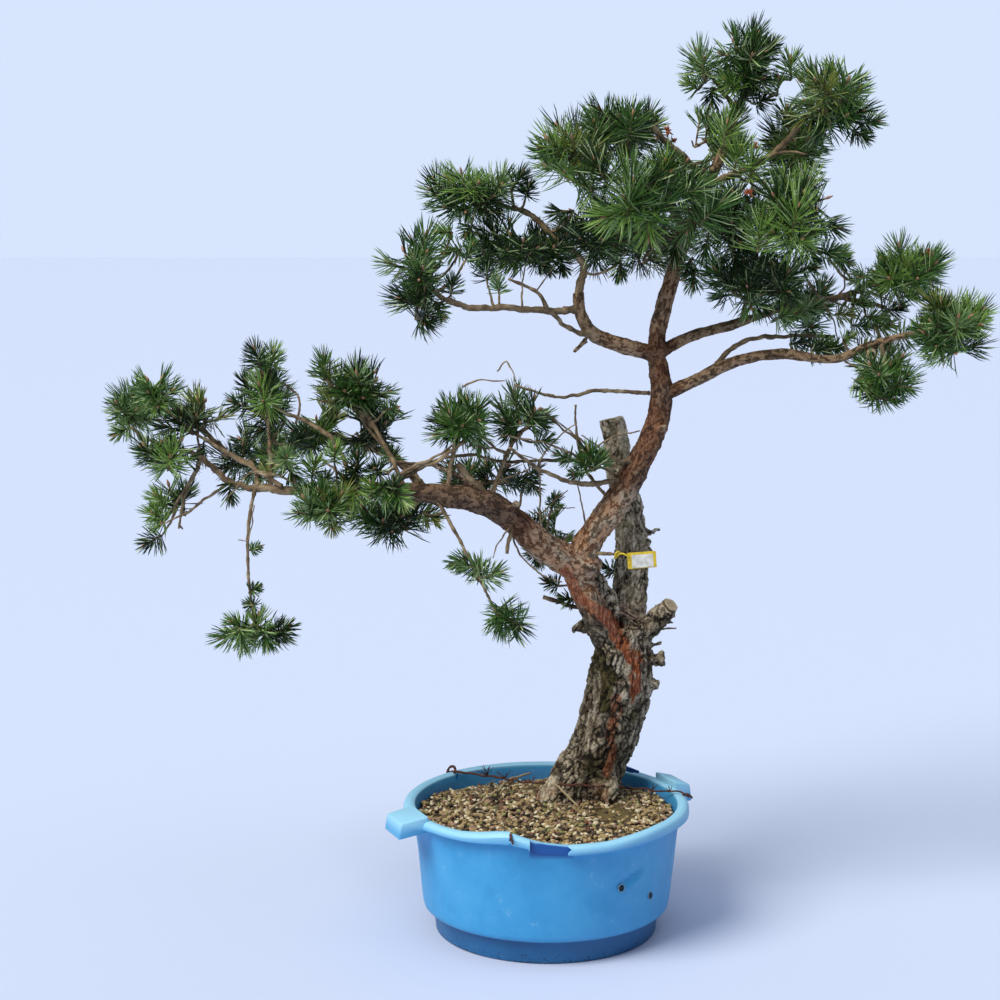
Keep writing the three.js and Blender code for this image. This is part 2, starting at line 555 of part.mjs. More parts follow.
const grown = planned.map(({ mass, stemLine, twigs }) => {
  const own = (other) => other.owner === mass.name;
  const kept = twigs.filter((tuft) => {
    const lengths = twigLengths(tuft, mass.name);
    const clear = lengths.every((length) => !meetsAny(length, woodLengths, needle.room, own));
    if (clear) woodLengths.push(...lengths);
    return clear;
  });
  return { mass, stemLine, kept };
});

const needleLengths = [];
for (const { mass, stemLine, kept } of grown) {
  const limb = limbs.find((other) => other.name === mass.limb);
  const random = seeded(mass.count * 31 + Math.round(mass.turn * 10));
  let solid = bentCylinder(stemLine, (t) => sizeAt(stem.sizes, t), stem.sides, stem.steps);
  for (const tuft of kept) {
    const allowed = (blade) => !meetsAny(blade, woodLengths, needle.room, (other) => other.tuft === tuft)
      && !meetsAny(blade, needleLengths, needle.room, (other) => other.owner === tuft);
    const { geometry, needles } = tuftGeometry(tuft, random, allowed);
    needleLengths.push(...needles);
    solid = solid.add(solidOf(geometry));
  }
  addPiece(mass.name, largest(solid.subtract(wholeLimb(limb, gap))), colours.needles, 0.8);
}

addPiece("tag", tagSolid(), colours.tag, 0.5);

export default group;
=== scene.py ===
# A Scots pine grown as a bonsai, standing in a round plastic tub of grit.
# The tables are in millimetres, as in the CAD source, and meshes are made in metres.
import math

import bpy
import numpy as np
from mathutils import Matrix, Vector
from numpy.linalg import norm


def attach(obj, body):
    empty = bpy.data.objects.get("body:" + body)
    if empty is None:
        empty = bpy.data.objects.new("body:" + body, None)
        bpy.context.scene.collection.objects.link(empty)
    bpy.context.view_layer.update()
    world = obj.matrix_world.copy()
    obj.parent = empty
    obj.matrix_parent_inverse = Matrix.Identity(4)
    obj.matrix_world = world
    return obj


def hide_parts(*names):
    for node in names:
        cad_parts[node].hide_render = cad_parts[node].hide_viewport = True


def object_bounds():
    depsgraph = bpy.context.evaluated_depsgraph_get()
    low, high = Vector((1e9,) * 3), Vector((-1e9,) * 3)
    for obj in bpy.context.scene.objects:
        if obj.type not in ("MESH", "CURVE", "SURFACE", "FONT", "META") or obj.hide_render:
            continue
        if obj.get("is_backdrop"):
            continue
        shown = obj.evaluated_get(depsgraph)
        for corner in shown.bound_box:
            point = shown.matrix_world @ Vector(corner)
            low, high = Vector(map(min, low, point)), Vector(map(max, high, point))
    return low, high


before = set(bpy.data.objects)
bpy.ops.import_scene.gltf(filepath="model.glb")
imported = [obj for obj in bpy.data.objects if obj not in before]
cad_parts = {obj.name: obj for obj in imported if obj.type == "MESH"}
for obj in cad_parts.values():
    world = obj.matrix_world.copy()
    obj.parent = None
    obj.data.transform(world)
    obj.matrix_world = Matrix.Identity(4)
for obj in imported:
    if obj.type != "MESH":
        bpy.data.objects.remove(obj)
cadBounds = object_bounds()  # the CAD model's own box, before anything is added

mm = 0.001
goldenAngle = math.pi * (3 - math.sqrt(5))
soilTop = 176  # the level of the grit
seeds = {"thin limbs": 7, "sprigs": 77, "needles": 21, "buds": 5, "spent flowers": 6, "torn fibres": 8,
         "stones": 33, "ties": 44, "litter": 45}


# Small tools

def linearOf(hexColour):
    channels = [int(hexColour[i:i + 2], 16) / 255 for i in (1, 3, 5)]
    return tuple(c / 12.92 if c <= 0.04045 else ((c + 0.055) / 1.055) ** 2.4 for c in channels) + (1,)


def deselectAll():
    bpy.ops.object.select_all(action="DESELECT")


def selectOnly(*pieces):
    deselectAll()
    for piece in pieces:
        piece.select_set(True)
    bpy.context.view_layer.objects.active = pieces[0]


def editOn(piece):
    selectOnly(piece)
    bpy.ops.object.mode_set(mode="EDIT")


def editOff():
    bpy.ops.object.mode_set(mode="OBJECT")


def newestPiece(name):
    # what an operator has just made, with its place and turn in its mesh
    piece = bpy.context.object
    piece.name = name
    bpy.ops.object.transform_apply(location=True, rotation=True, scale=True)
    return piece


def joinedPieces(name, pieces):
    selectOnly(*pieces)
    bpy.ops.object.join()
    return newestPiece(name)


def applyModifiers(piece):
    selectOnly(piece)
    for modifier in list(piece.modifiers):
        bpy.ops.object.modifier_apply(modifier=modifier.name)


def bevelled(piece, width, segments):
    rounding = piece.modifiers.new("bevel", "BEVEL")
    rounding.width = width * mm
    rounding.segments = segments
    applyModifiers(piece)


def addPiece(name, data):
    piece = bpy.data.objects.new(name, data)
    bpy.context.scene.collection.objects.link(piece)
    return piece


def meshPiece(name, points, faces, material=None, smooth=True):
    # points in millimetres; faces is a list of whole-number arrays, each n by 3 or n by 4
    mesh = bpy.data.meshes.new(name)
    corners = np.concatenate([block.ravel() for block in faces])
    counts = np.concatenate([np.full(len(block), block.shape[1]) for block in faces])
    starts = np.concatenate([[0], np.cumsum(counts)[:-1]])
    mesh.vertices.add(len(points))
    mesh.loops.add(len(corners))
    mesh.polygons.add(len(counts))
    mesh.vertices.foreach_set("co", (np.asarray(points) * mm).astype(np.float32).ravel())
    mesh.loops.foreach_set("vertex_index", corners.astype(np.int32))
    mesh.polygons.foreach_set("loop_start", starts.astype(np.int32))
    mesh.polygons.foreach_set("use_smooth", np.full(len(counts), smooth))
    mesh.update(calc_edges=True)
    if material:
        mesh.materials.append(material)
    return addPiece(name, mesh)


def joinedShapes(shapes):
    # many (points, faces) shapes as one
    points = np.concatenate([shape[0] for shape in shapes])
    shifts = np.cumsum([0] + [len(shape[0]) for shape in shapes[:-1]])
    blocks = {}
    for shape, shift in zip(shapes, shifts):
        for block in shape[1]:
            blocks.setdefault(block.shape[1], []).append(block + shift)
    return points, [np.concatenate(block) for block in blocks.values()]


def repeatedFaces(faces, size, count):
    # the faces of one shape with this many points, for as many of it as there are
    return (faces[None] + (np.arange(count) * size)[:, None, None]).reshape(-1, faces.shape[1])


def rowsOf(values, title):
    rows = np.empty(len(values) * 3, np.float32)
    values.foreach_get(title, rows)
    return rows.reshape(-1, 3).astype(float)


def pointsOf(piece):
    return rowsOf(piece.data.vertices, "co") / mm


def normalsOf(piece):
    return rowsOf(piece.data.vertex_normals, "vector")


def setPoints(piece, points):
    piece.data.vertices.foreach_set("co", (points * mm).astype(np.float32).ravel())
    piece.data.update()


def setAttribute(piece, title, values):
    attribute = piece.data.attributes.new(title, "FLOAT", "POINT")
    attribute.data.foreach_set("value", np.asarray(values, np.float32))


def finishPiece(piece, slotName, *nodes):
    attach(piece, "root")
    if nodes:
        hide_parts(*nodes)


# The photograph's view: from its camera, each pixel at a depth is a place in the tree's own frame
view = {"place": (-0.068, -2.951, 1.081), "pitch": 8.55, "focal": 2.07 * 36, "sensor": 36, "pixels": 1000}
viewTilt = math.radians(view["pitch"])
viewReach = view["focal"] / view["sensor"] * view["pixels"]
viewForward = np.array([0, math.cos(viewTilt), -math.sin(viewTilt)])
viewUpward = np.array([0, math.sin(viewTilt), math.cos(viewTilt)])
viewEye = np.array(view["place"]) / mm


def placeSeen(across, down, depth):
    # the place in mm that the photograph shows at a pixel, where Y is the depth
    middle = view["pixels"] / 2
    ray = viewForward + viewUpward * (middle - down) / viewReach
    ray = ray + np.array([(across - middle) / viewReach, 0, 0])
    return viewEye + ray * (depth - viewEye[1]) / ray[1]


def routeSeen(pixels, depths):
    # a row of such places, with even steps from the first depth to the last
    return [placeSeen(*pixel, depth) for pixel, depth in zip(pixels, np.linspace(*depths, len(pixels)))]


def pixelsOf(points):
    # where the photograph shows each place
    offset = points - viewEye
    depth = offset @ viewForward
    height = offset @ viewUpward
    return np.stack([offset[:, 0] / depth, -height / depth], axis=1) * viewReach + view["pixels"] / 2


# Patterns with no repeat, worked out from places alone, so that each run is the same

def hashOf(cells, seed):
    mixed = (cells[..., 0] * 73856093) ^ (cells[..., 1] * 19349663) ^ (cells[..., 2] * 83492791)
    mixed = (mixed ^ (seed * 40503)) & 0x7FFFFFFF
    mixed = ((mixed ^ (mixed >> 13)) * 1274126177) & 0x7FFFFFFF
    mixed = ((mixed ^ (mixed >> 15)) * 461845907) & 0x7FFFFFFF
    return ((mixed ^ (mixed >> 16)) & 0xFFFF) / 65535


def softNoise(points, size, seed):
    scaled = points / np.asarray(size, float)
    low = np.floor(scaled).astype(np.int64)
    part = scaled - low
    part = part * part * (3 - 2 * part)
    total = np.zeros(len(points))
    for corner in np.ndindex(2, 2, 2):
        weight = np.prod(np.where(np.array(corner) == 1, part, 1 - part), axis=1)
        total += weight * hashOf(low + np.array(corner), seed)
    return total


def cellPattern(points, size, seed):
    # how far each place is from the crack between two plates, and a number for its plate
    scaled = points / np.asarray(size, float)
    home = np.floor(scaled).astype(np.int64)
    nearest = np.full(len(points), 9.0)
    second = np.full(len(points), 9.0)
    tone = np.zeros(len(points))
    for offset in np.ndindex(3, 3, 3):
        cell = home + np.array(offset) - 1
        middle = cell + np.stack([hashOf(cell, seed + k) for k in range(3)], axis=1)
        distance = norm(scaled - middle, axis=1)
        closer = distance < nearest
        second = np.where(closer, nearest, np.minimum(second, distance))
        tone = np.where(closer, hashOf(cell, seed + 3), tone)
        nearest = np.where(closer, distance, nearest)
    return second - nearest, tone


def smoothStep(values, low, high):
    share = np.clip((values - low) / (high - low), 0, 1)
    return share * share * (3 - 2 * share)


# Lines and tubes

def lineThrough(places, count=240):
    # a centripetal Catmull-Rom curve, as points at even steps along its length
    places = np.array(places, float)
    ends = np.vstack([2 * places[0] - places[1], places, 2 * places[-1] - places[-2]])
    samples = []
    for i in range(len(places) - 1):
        before, start, end, after = ends[i:i + 4]
        pairs = ((before, start), (start, end), (end, after))
        first, main, last = (math.sqrt(norm(b - a)) for a, b in pairs)
        leave = ((start - before) / first - (end - before) / (first + main) + (end - start) / main) * main
        arrive = ((end - start) / main - (after - start) / (main + last) + (after - end) / last) * main
        s = np.linspace(0, 1, 40, endpoint=False)[:, None]
        samples.append((2 * s**3 - 3 * s**2 + 1) * start + (s**3 - 2 * s**2 + s) * leave
                       + (3 * s**2 - 2 * s**3) * end + (s**3 - s**2) * arrive)
    return evenly(np.vstack(samples + [places[-1:]]), count)


def evenly(points, count):
    steps = np.concatenate([[0], np.cumsum(norm(np.diff(points, axis=0), axis=1))])
    wanted = np.linspace(0, steps[-1], count)
    return np.stack([np.interp(wanted, steps, points[:, axis]) for axis in range(3)], axis=1)


def lengthOf(line):
    return float(norm(np.diff(line, axis=0), axis=1).sum())


def placeAt(line, share):
    at = np.clip(share, 0, 1) * (len(line) - 1)
    low = min(int(at), len(line) - 2)
    return line[low] + (line[low + 1] - line[low]) * (at - low)


def unit(vector):
    return vector / max(norm(vector), 1e-9)


def crossPair(axis):
    # two directions square to the axis and to each other
    helper = np.array([0, 0, 1.0]) if abs(axis[2]) < 0.9 else np.array([1.0, 0, 0])
    side = unit(np.cross(axis, helper))
    return side, np.cross(axis, side)


def sizesAlong(radii, count):
    # radii that are spaced evenly, at as many even steps as this
    return np.interp(np.linspace(0, 1, count), np.linspace(0, 1, len(radii)), radii)


def headingsOf(line):
    headings = np.gradient(line, axis=0)
    return headings / norm(headings, axis=1)[:, None]


def tubeAlong(line, radii, sides=8, step=4, swell=None):
    # a closed tube; radii are spaced evenly along it, and swell(share, angle) adds to them
    count = max(int(lengthOf(line) / step), 2) + 1
    line = evenly(line, count)
    shares = np.linspace(0, 1, count)
    sizes = sizesAlong(radii, count)
    headings = headingsOf(line)
    side = crossPair(headings[0])[0]
    angles = np.arange(sides) * 2 * math.pi / sides
    rings = []
    for place, heading, size, share in zip(line, headings, sizes, shares):
        side = unit(side - heading * side.dot(heading))
        other = np.cross(heading, side)
        reach = size + (swell(share, angles) if swell else 0)
        ring = np.cos(angles)[:, None] * side + np.sin(angles)[:, None] * other
        rings.append(place + ring * np.broadcast_to(reach, sides)[:, None])
    points = np.vstack(rings + [line[:1], line[-1:]])
    index = np.arange(count * sides).reshape(count, sides)
    after = np.roll(index, -1, axis=1)
    quads = np.stack([index[:-1], after[:-1], after[1:], index[1:]], axis=-1).reshape(-1, 4)
    foot, tip = count * sides, count * sides + 1
    ends = np.vstack([
        np.stack([after[0], index[0], np.full(sides, foot)], axis=1),
        np.stack([index[-1], after[-1], np.full(sides, tip)], axis=1),
    ])
    return points, [quads, ends]


# One function for every material's nodes

def newMaterial(name):
    material = bpy.data.materials.new(name)
    material.use_nodes = True
    material.node_tree.nodes.clear()
    return material, material.node_tree


def addNode(tree, kind, settings=None):
    # a setting is one of the node's own, or a socket's: its value, or the node or socket to link it with
    node = tree.nodes.new("ShaderNode" + kind)
    for title, value in (settings or {}).items():
        if isinstance(value, bpy.types.Node):
            value = next(output for output in value.outputs if output.enabled)
        if isinstance(value, bpy.types.NodeSocket):
            tree.links.new(value, node.inputs[title])
        elif title == "stops":
            stops = node.color_ramp.elements
            while len(stops) < len(value):
                stops.new(1)
            for stop, (position, colour) in zip(stops, value):
                stop.position = position
                stop.color = linearOf(colour) if isinstance(colour, str) else (colour, colour, colour, 1)
        elif isinstance(title, int) or title in node.inputs:
            node.inputs[title].default_value = linearOf(value) if isinstance(value, str) else value
        else:
            setattr(node, title, value)
    return node


def plainMaterial(name, settings):
    # one colour and one finish all over
    material, tree = newMaterial(name)
    shader = addNode(tree, "BsdfPrincipled", settings)
    addNode(tree, "OutputMaterial", {"Surface": shader})
    return material


def mottledMaterial(name, scale, detail, stops, settings):
    # fine blotches of a few tones, and one finish all over
    material, tree = newMaterial(name)
    place = addNode(tree, "TexCoord").outputs["Object"]
    blotches = addNode(tree, "TexNoise", {"Scale": scale, "Detail": detail, "Vector": place})
    skin = addNode(tree, "ValToRGB", {"Fac": blotches, "stops": stops})
    shader = addNode(tree, "BsdfPrincipled", {**settings, "Base Color": skin})
    addNode(tree, "OutputMaterial", {"Surface": shader})
    return material


# The tree's own rule, as in the CAD source: limbs through places, and masses of tufts on them

limbs = {
    "trunk": {
        "places": [[48, 85, 150], [72, 85, 215], [92, 84, 266], [106, 82, 321], [115, 80, 371],
                   [118, 80, 416]],
        "radii": [50, 48, 46, 48, 48, 40],
        "stubs": [
            ([[118, 80, 390], [146, 66, 428], [182, 44, 472]], [25, 19, 15]),
            ([[132, 74, 386], [162, 70, 386], [177, 66, 387]], [15, 9.5, 8]),
            ([[130, 72, 358], [158, 70, 350], [168, 68, 347]], [14, 8.5, 6.5]),
            ([[140, 76, 398], [164, 70, 409], [172, 68, 413]], [10, 5, 2]),
            ([[158, 58, 440], [190, 47, 447]], [9, 2]),
            ([[120, 60, 372], [176, 62, 396]], [11, 4]),
            ([[80, 75, 440], [58, 72, 436], [40, 70, 431]], [17, 11, 4]),
            ([[54, 66, 226], [26, 52, 192], [0, 42, 166]], [36, 29, 20]),
            ([[40, 50, 190], [26, 30, 168]], [24, 16]),
            ([[96, 62, 196], [90, 42, 194]], [24, 18]),
        ],
    },
    "old_leader": {
        "places": [[121, 86, 395], [128, 98, 486], [130, 108, 560], [123, 112, 612], [108, 116, 673],
                   [96, 118, 742]],
        "radii": [30, 28, 27.5, 24, 21, 18],
        "stubs": [
            ([[140, 108, 566], [174, 108, 578]], [9, 5]),
            ([[150, 104, 545], [162, 98, 549]], [10, 5]),
        ],
    },
    "live_leader_lower": {
        "places": [[98, 66, 405], [70, 48, 470], [47, 38, 527], [62, 34, 572], [98, 38, 622]],
        "radii": [26, 23, 22, 21.5, 21],
        "stubs": [([[60, 26, 556], [82, 11, 556], [94, 8, 556], [103, 8, 556]], [3.2, 2.2])],
    },
    "live_leader_upper": {
        "places": [[94, 38, 616], [131, 50, 677], [156, 58, 728], [166, 66, 770], [166, 70, 812],
                   [159, 74, 848]],
        "radii": [21, 19.5, 18, 17.5, 16, 13.5],
        "stubs": [
            ([[156, 54, 735], [172, 30, 737]], [10, 5]),
            ([[150, 62, 786], [76, 32, 792], [18, 4, 786], [-47, -20, 805]], [3.4, 2.6, 1.8]),
            ([[104, 40, 660], [48, 0, 661], [-11, -52, 689], [-56, -84, 724]], [4.4, 3.4, 1.8]),
        ],
    },
    "top_leader": {
        "places": [[160, 74, 842], [164, 80, 884], [181, 90, 942], [201, 95, 1007], [231, 92, 1079],
                   [261, 84, 1151], [284, 74, 1226]],
        "radii": [13, 12, 11, 8.5, 6.5, 3],
    },
    "upper_left_bough": {
        "places": [[156, 72, 844], [106, 55, 857], [65, 40, 875], [47, 31, 905], [44, 28, 934]],
        "radii": [13, 11.5, 10, 8],
        "stubs": [([[56, 36, 866], [38, 30, 848]], [5, 3])],
    },
    "upper_left_arm": {
        "places": [[46, 30, 910], [-4, 10, 909], [-61, -10, 915], [-110, -22, 915], [-148, -28, 928]],
        "radii": [6, 5, 4.5, 4],
        "stubs": [([[64, 37, 874], [42, 22, 878], [8, -4, 904], [-18, -20, 938], [-56, -36, 956]],
                   [4, 3.4, 3, 2])],
    },
    "upper_left_neck": {
        "places": [[44, 28, 928], [50, 40, 977], [11, 52, 1012], [-28, 60, 1047], [-61, 62, 1056]],
        "radii": [7, 5.5, 4.6, 3.6],
    },
    "right_bough": {
        "places": [[162, 76, 842], [211, 90, 866], [271, 104, 882], [331, 110, 901]],
        "radii": [10, 8.5, 7.5, 6],
    },
    "right_outer_bough": {
        "places": [[331.4, 110, 901.2], [370, 104, 912], [415, 90, 920], [448, 78, 931]],
        "radii": [6, 5.2, 4.4],
        "stubs": [([[428, 86, 924], [462, 92, 918], [500, 98, 908]], [4, 3])],
    },
    "low_right_bough": {
        "places": [[172, 68, 783], [217, 60, 805], [273, 48, 833], [335, 28, 846], [411, 5, 840],
                   [458, -10, 862], [508, -22, 877]],
        "radii": [11, 9.5, 8, 7, 6, 4.6],
        "stubs": [([[240, 56, 820], [280, 62, 858], [350, 60, 870], [420, 66, 868]], [4, 3.4, 2.4])],
    },
    "crown_right_limb": {
        "places": [[234, 92, 1086], [299, 66, 1115], [338, 40, 1145], [368, 20, 1186]],
        "radii": [6.5, 5, 4.4, 3.6],
    },
    "crown_left_limb": {
        "places": [[206, 94, 1020], [155, 62, 1075], [89, 35, 1098], [40, 20, 1118]],
        "radii": [7, 6, 5, 3.6],
    },
    "low_left_bough": {
        "places": [[58, 40, 527], [-3, 15, 565], [-46, -15, 609], [-89, -40, 638], [-153, -60, 654],
                   [-209, -70, 662]],
        "radii": [26, 21.5, 20.5, 19.5, 16.5, 11],
        "stubs": [
            ([[-80, -36, 636], [-110, -44, 668], [-172, -60, 702]], [6.5, 5, 3.4]),
            ([[-60, -30, 624], [-44, -50, 640]], [7, 4]),
            ([[-50, -28, 606], [-58, -40, 566]], [3.6, 2.4]),
        ],
    },
    "low_left_outer_bough": {
        "places": [[-209.4, -70, 662], [-293, -66, 659], [-380, -50, 659], [-452, -32, 668],
                   [-497, -15, 702], [-556, 0, 720]],
        "radii": [8, 6.4, 6, 5, 4, 3],
    },
    "far_left_arm": {
        "places": [[-412, -42, 662], [-418, -25, 686], [-464, 5, 709], [-510, 30, 743], [-556, 44, 766]],
        "radii": [4.6, 4, 3.6, 3],
    },
    "low_left_rear_arm": {
        "places": [[-176, -62, 662], [-206, 0, 688], [-262, 62, 706], [-330, 104, 716]],
        "radii": [7, 6, 5, 3.6],
    },
}
for limb in limbs.values():
    limb["line"] = lineThrough(limb["places"])

# name, limb, share of the limb, middle, half sizes, reach of a tuft, tufts, turn
masses = [
    ("far_left_pad", "far_left_arm", 1, [-600, 50, 768], [42, 70, 48], 38, 4, 0.4),
    ("far_left_front_pad", "far_left_arm", 0.8, [-552, -50, 800], [38, 50, 36], 38, 2, 1.2),
    ("left_inner_pad", "far_left_arm", 0.62, [-505, 20, 752], [60, 60, 56], 38, 4, 2.2),
    ("left_tip_pad", "low_left_outer_bough", 1, [-540, -40, 708], [62, 60, 40], 36, 4, 0.9),
    ("left_low_pad", "low_left_outer_bough", 0.82, [-545, 50, 618], [62, 60, 56], 38, 4, 2.6),
    ("left_rear_pad", "low_left_rear_arm", 1, [-430, 120, 690], [76, 80, 52], 38, 5, 0.2),
    ("left_spire", "low_left_outer_bough", 0.5, [-398, -22, 792], [44, 60, 66], 40, 4, 1.9),
    ("left_middle_pad", "low_left_rear_arm", 0.75, [-340, 80, 735], [56, 66, 50], 38, 5, 1.1),
    ("left_top_pad", "low_left_bough", 0.97, [-278, -20, 806], [66, 62, 44], 40, 6, 2.9),
    ("left_near_pad", "low_left_rear_arm", 0.35, [-255, 36, 742], [66, 76, 52], 38, 6, 0.7),
    ("left_front_low_pad", "low_left_outer_bough", 0.3, [-312, -110, 648], [56, 52, 36], 36, 4, 1.6),
    ("left_under_pad", "low_left_bough", 0.86, [-228, 0, 612], [68, 66, 50], 38, 6, 2.4),
    ("hanging_left_twig", "low_left_outer_bough", 0.58, [-418, -54, 452], [54, 46, 38], 36, 3, 0.3),
    ("middle_left_pad", "low_left_bough", 0.8, [-124, -50, 762], [56, 60, 46], 36, 5, 2.0),
    ("middle_pad", "low_left_bough", 0.6, [-34, -10, 762], [58, 66, 52], 36, 5, 0.5),
    ("middle_low_pad", "low_left_bough", 0.62, [-100, 60, 668], [76, 60, 34], 32, 4, 1.4),
    ("leader_sprig", "live_leader_upper", 0.3, [62, -4, 702], [30, 30, 30], 30, 1, 0),
    ("hanging_middle_twig", "low_left_bough", 0.9, [-84, -96, 520], [56, 44, 74], 40, 3, 2.7),
    ("lower_rear_sprigs", "low_left_bough", 0.3, [2, 90, 572], [50, 50, 52], 29, 4, 0.8),
    ("upper_left_top_pad", "upper_left_neck", 1, [-112, 56, 1076], [84, 66, 54], 38, 6, 1.3),
    ("upper_left_tip_pad", "upper_left_arm", 1, [-184, -30, 956], [50, 66, 92], 40, 6, 0.3),
    ("upper_left_inner_pad", "upper_left_neck", 0.5, [-36, 50, 1000], [98, 90, 48], 38, 7, 2.1),
    ("crown_left_pad", "crown_left_limb", 1, [30, 6, 1130], [62, 84, 66], 44, 5, 1.0),
    ("crown_left_rear_pad", "crown_left_limb", 0.5, [110, 90, 1168], [74, 90, 54], 44, 6, 1.9),
    ("crown_front_burst", "crown_left_limb", 0.42, [112, -50, 1086], [60, 60, 60], 66, 1, 0),
    ("crown_left_under_pad", "crown_left_limb", 0.25, [78, 50, 1024], [84, 90, 64], 46, 6, 0.6),
    ("crown_middle_pad", "top_leader", 0.66, [176, 10, 1100], [64, 70, 62], 46, 5, 1.7),
    ("crown_rear_pad", "top_leader", 0.42, [150, 176, 1010], [96, 70, 60], 46, 5, 2.8),
    ("crown_tip", "top_leader", 1, [286, 62, 1266], [50, 66, 66], 42, 5, 0.9),
    ("crown_tip_side", "top_leader", 0.9, [216, 56, 1262], [44, 44, 44], 44, 1, 0),
    ("crown_upper_pad", "top_leader", 0.8, [240, 140, 1156], [72, 80, 58], 42, 6, 1.5),
    ("crown_right_tip_pad", "crown_right_limb", 1, [400, 8, 1210], [72, 80, 76], 44, 7, 0.2),
    ("crown_right_rear_pad", "crown_right_limb", 0.6, [362, 110, 1142], [64, 80, 62], 44, 6, 2.2),
    ("crown_right_front_pad", "crown_right_limb", 0.35, [352, -40, 1046], [80, 70, 82], 50, 5, 1.2),
    ("crown_right_under_pad", "top_leader", 0.55, [268, 70, 1042], [70, 90, 64], 44, 6, 2.6),
    ("right_inner_pad", "right_bough", 0.75, [302, 60, 952], [96, 100, 52], 42, 7, 0.4),
    ("right_middle_pad", "right_outer_bough", 0.3, [388, 150, 905], [60, 70, 60], 40, 4, 1.8),
    ("right_top_pad", "right_outer_bough", 1, [510, 60, 968], [92, 86, 50], 40, 7, 0.7),
    ("right_tip_pad", "low_right_bough", 1, [568, -30, 890], [72, 72, 66], 40, 7, 2.0),
    ("right_low_pad", "low_right_bough", 0.9, [480, -20, 822], [52, 66, 58], 38, 4, 1.1),
]


def seeded(seed):
    # the source's own run of numbers between 0 and 1
    state = seed * 7919 + 17

    def following():
        nonlocal state
        state = state * 16807 % 2147483647
        return state / 2147483647

    return following


def tuftsOf(middle, half, tuft, count, turn):
    # evenly round the mass's ellipsoid, from one golden spiral
    random = seeded(round(turn * 100) + count)
    upright = half[2] > half[0]
    tufts = []
    for k in range(count):
        along = 0 if count == 1 else 1 - (2 * k + 1) / count
        ring = 0 if count == 1 else math.sqrt(1 - along * along)
        angle = k * goldenAngle + turn
        sides = [ring * math.cos(angle), ring * math.sin(angle)]
        out = np.array(sides + [along] if upright else [along] + sides)
        room = np.maximum(np.array(half) - tuft * 0.75, 0)
        place = np.array(middle) + out * room
        lean = [random() * 0.5 - 0.25, random() * 0.5 - 0.45, 0.75]
        tufts.append((place, unit(out * 0.8 + lean), tuft * (0.9 + 0.2 * random())))
    return tufts


print("tree rule: ", len(limbs), "limbs and", len(masses), "masses")


# Wood: the limbs' tubes run together, then lifted into bark

oldBarkShape = {
    "voxel": 1.62,  # the net's step
    "rounds": 3,  # of smoothing, before the bark is lifted
    "plate": (10, 10, 25),  # a plate of old bark, long in the limb's own direction
    "plateStep": 2.4,
    "crack": 0.15,  # half the width of a crack, against a plate
    "crackFade": (0.22, 0.55),  # where the cracks open, in patches of the next size
    "crackPatch": (15, 15, 34),
    "depth": 3.0,
    "chip": (4.6, 4.6, 9),  # the chips that a plate breaks into
    "chipDepth": 1.0,
    "chipStep": 0.9,
    "splitWidth": 0.16,  # as for the cracks, between chips
    "splitFade": (0.3, 0.6),
    "splitPatch": 12,
    "flake": (6, 6, 17),  # thin flakes that lie on each other
    "flakes": 4,
    "flakeStep": 0.8,
    "edge": (0.75, 1.0),  # where in a flake's height its edge rises
    "ledge": (0.8, 0.1),  # the dark line below that edge, a painted shadow: its middle and width
    "shades": (0.55, 0.5),  # how dark a split and a ledge's painted shadow are, against a crack
    "tones": (0.45, 0.55),  # how much a plate and a chip count in the tone
    "flute": (19, 19, 170),  # long swellings from the roots upwards
    "fluteHeight": 10,
    "sawn": [(182, 44, 472), (96, 118, 742)],  # cut ends, which stay flat
    "sawnFade": (8, 24),
}
liveBarkShape = {
    "voxel": 1.57,
    "rounds": 2,
    "layer": (15, 15, 34),  # where the papery scales have come away in patches
    "octaves": ((0.5, 1, 3), (0.3, 2.3, 5), (0.2, 5, 7)),  # share, how much finer, and seed
    "layers": 5,
    "layerReach": 1.6,  # the noise keeps clear of 0 and 1, so it is stretched by this
    "layerStep": 1.0,
    "flatLayer": 4,  # the layer that lies at the wood's own height
    "edge": (0.82, 1.0),  # as in old bark
    # the ledge is a painted shadow line under each scale's edge
    "ledge": (0.84, 0.07),
    "shades": (0.7, 0.5),
    "chip": (3.8, 3.8, 7),
    "chipDepth": 0.7,
    "chipStep": 0.6,
    "splitWidth": 0.13,
    "splitFade": (0.35, 0.65),
    "splitPatch": 14,
    "lump": 22,
    "lumpHeight": 3.0,
    "slim": (8, 18),  # radii between which a bough's bark turns thick
    "slimHeight": 0.55,  # how much of the relief a slim bough loses, and how much of its contrast
    "slimContrast": 0.85,
    "slimLayer": 0.62,
    "streakShade": 0.85,
    "agedSlope": 0.5,
    "aged": (400, 480),  # heights between which the old bark ends, by the slope of the fork
}
strippedStreak = {  # where the bark came off the front of the trunk: pixels and half a width
    "leader": ([(568, 572), (574, 588), (582, 600), (593, 608), (603, 615)], 5.5),
    "upper": ([(600, 612), (612, 622), (619, 636), (626, 648), (635, 660)], 6.5),
    "narrow": ([(635, 660), (637, 672), (635, 686), (633, 700)], 3.6),
    "lower": ([(617, 698), (614, 721), (611, 736), (613, 748), (609, 762), (605, 772)], 3.2),
    "hollow": ([(594, 648), (601, 662), (607, 684), (604, 706)], 6.5),  # a valley beside it, darkened with the moss tint as moss and as painted shade
    "fade": 2,
    "front": 76,  # the streak is on wood that lies nearer than this
}


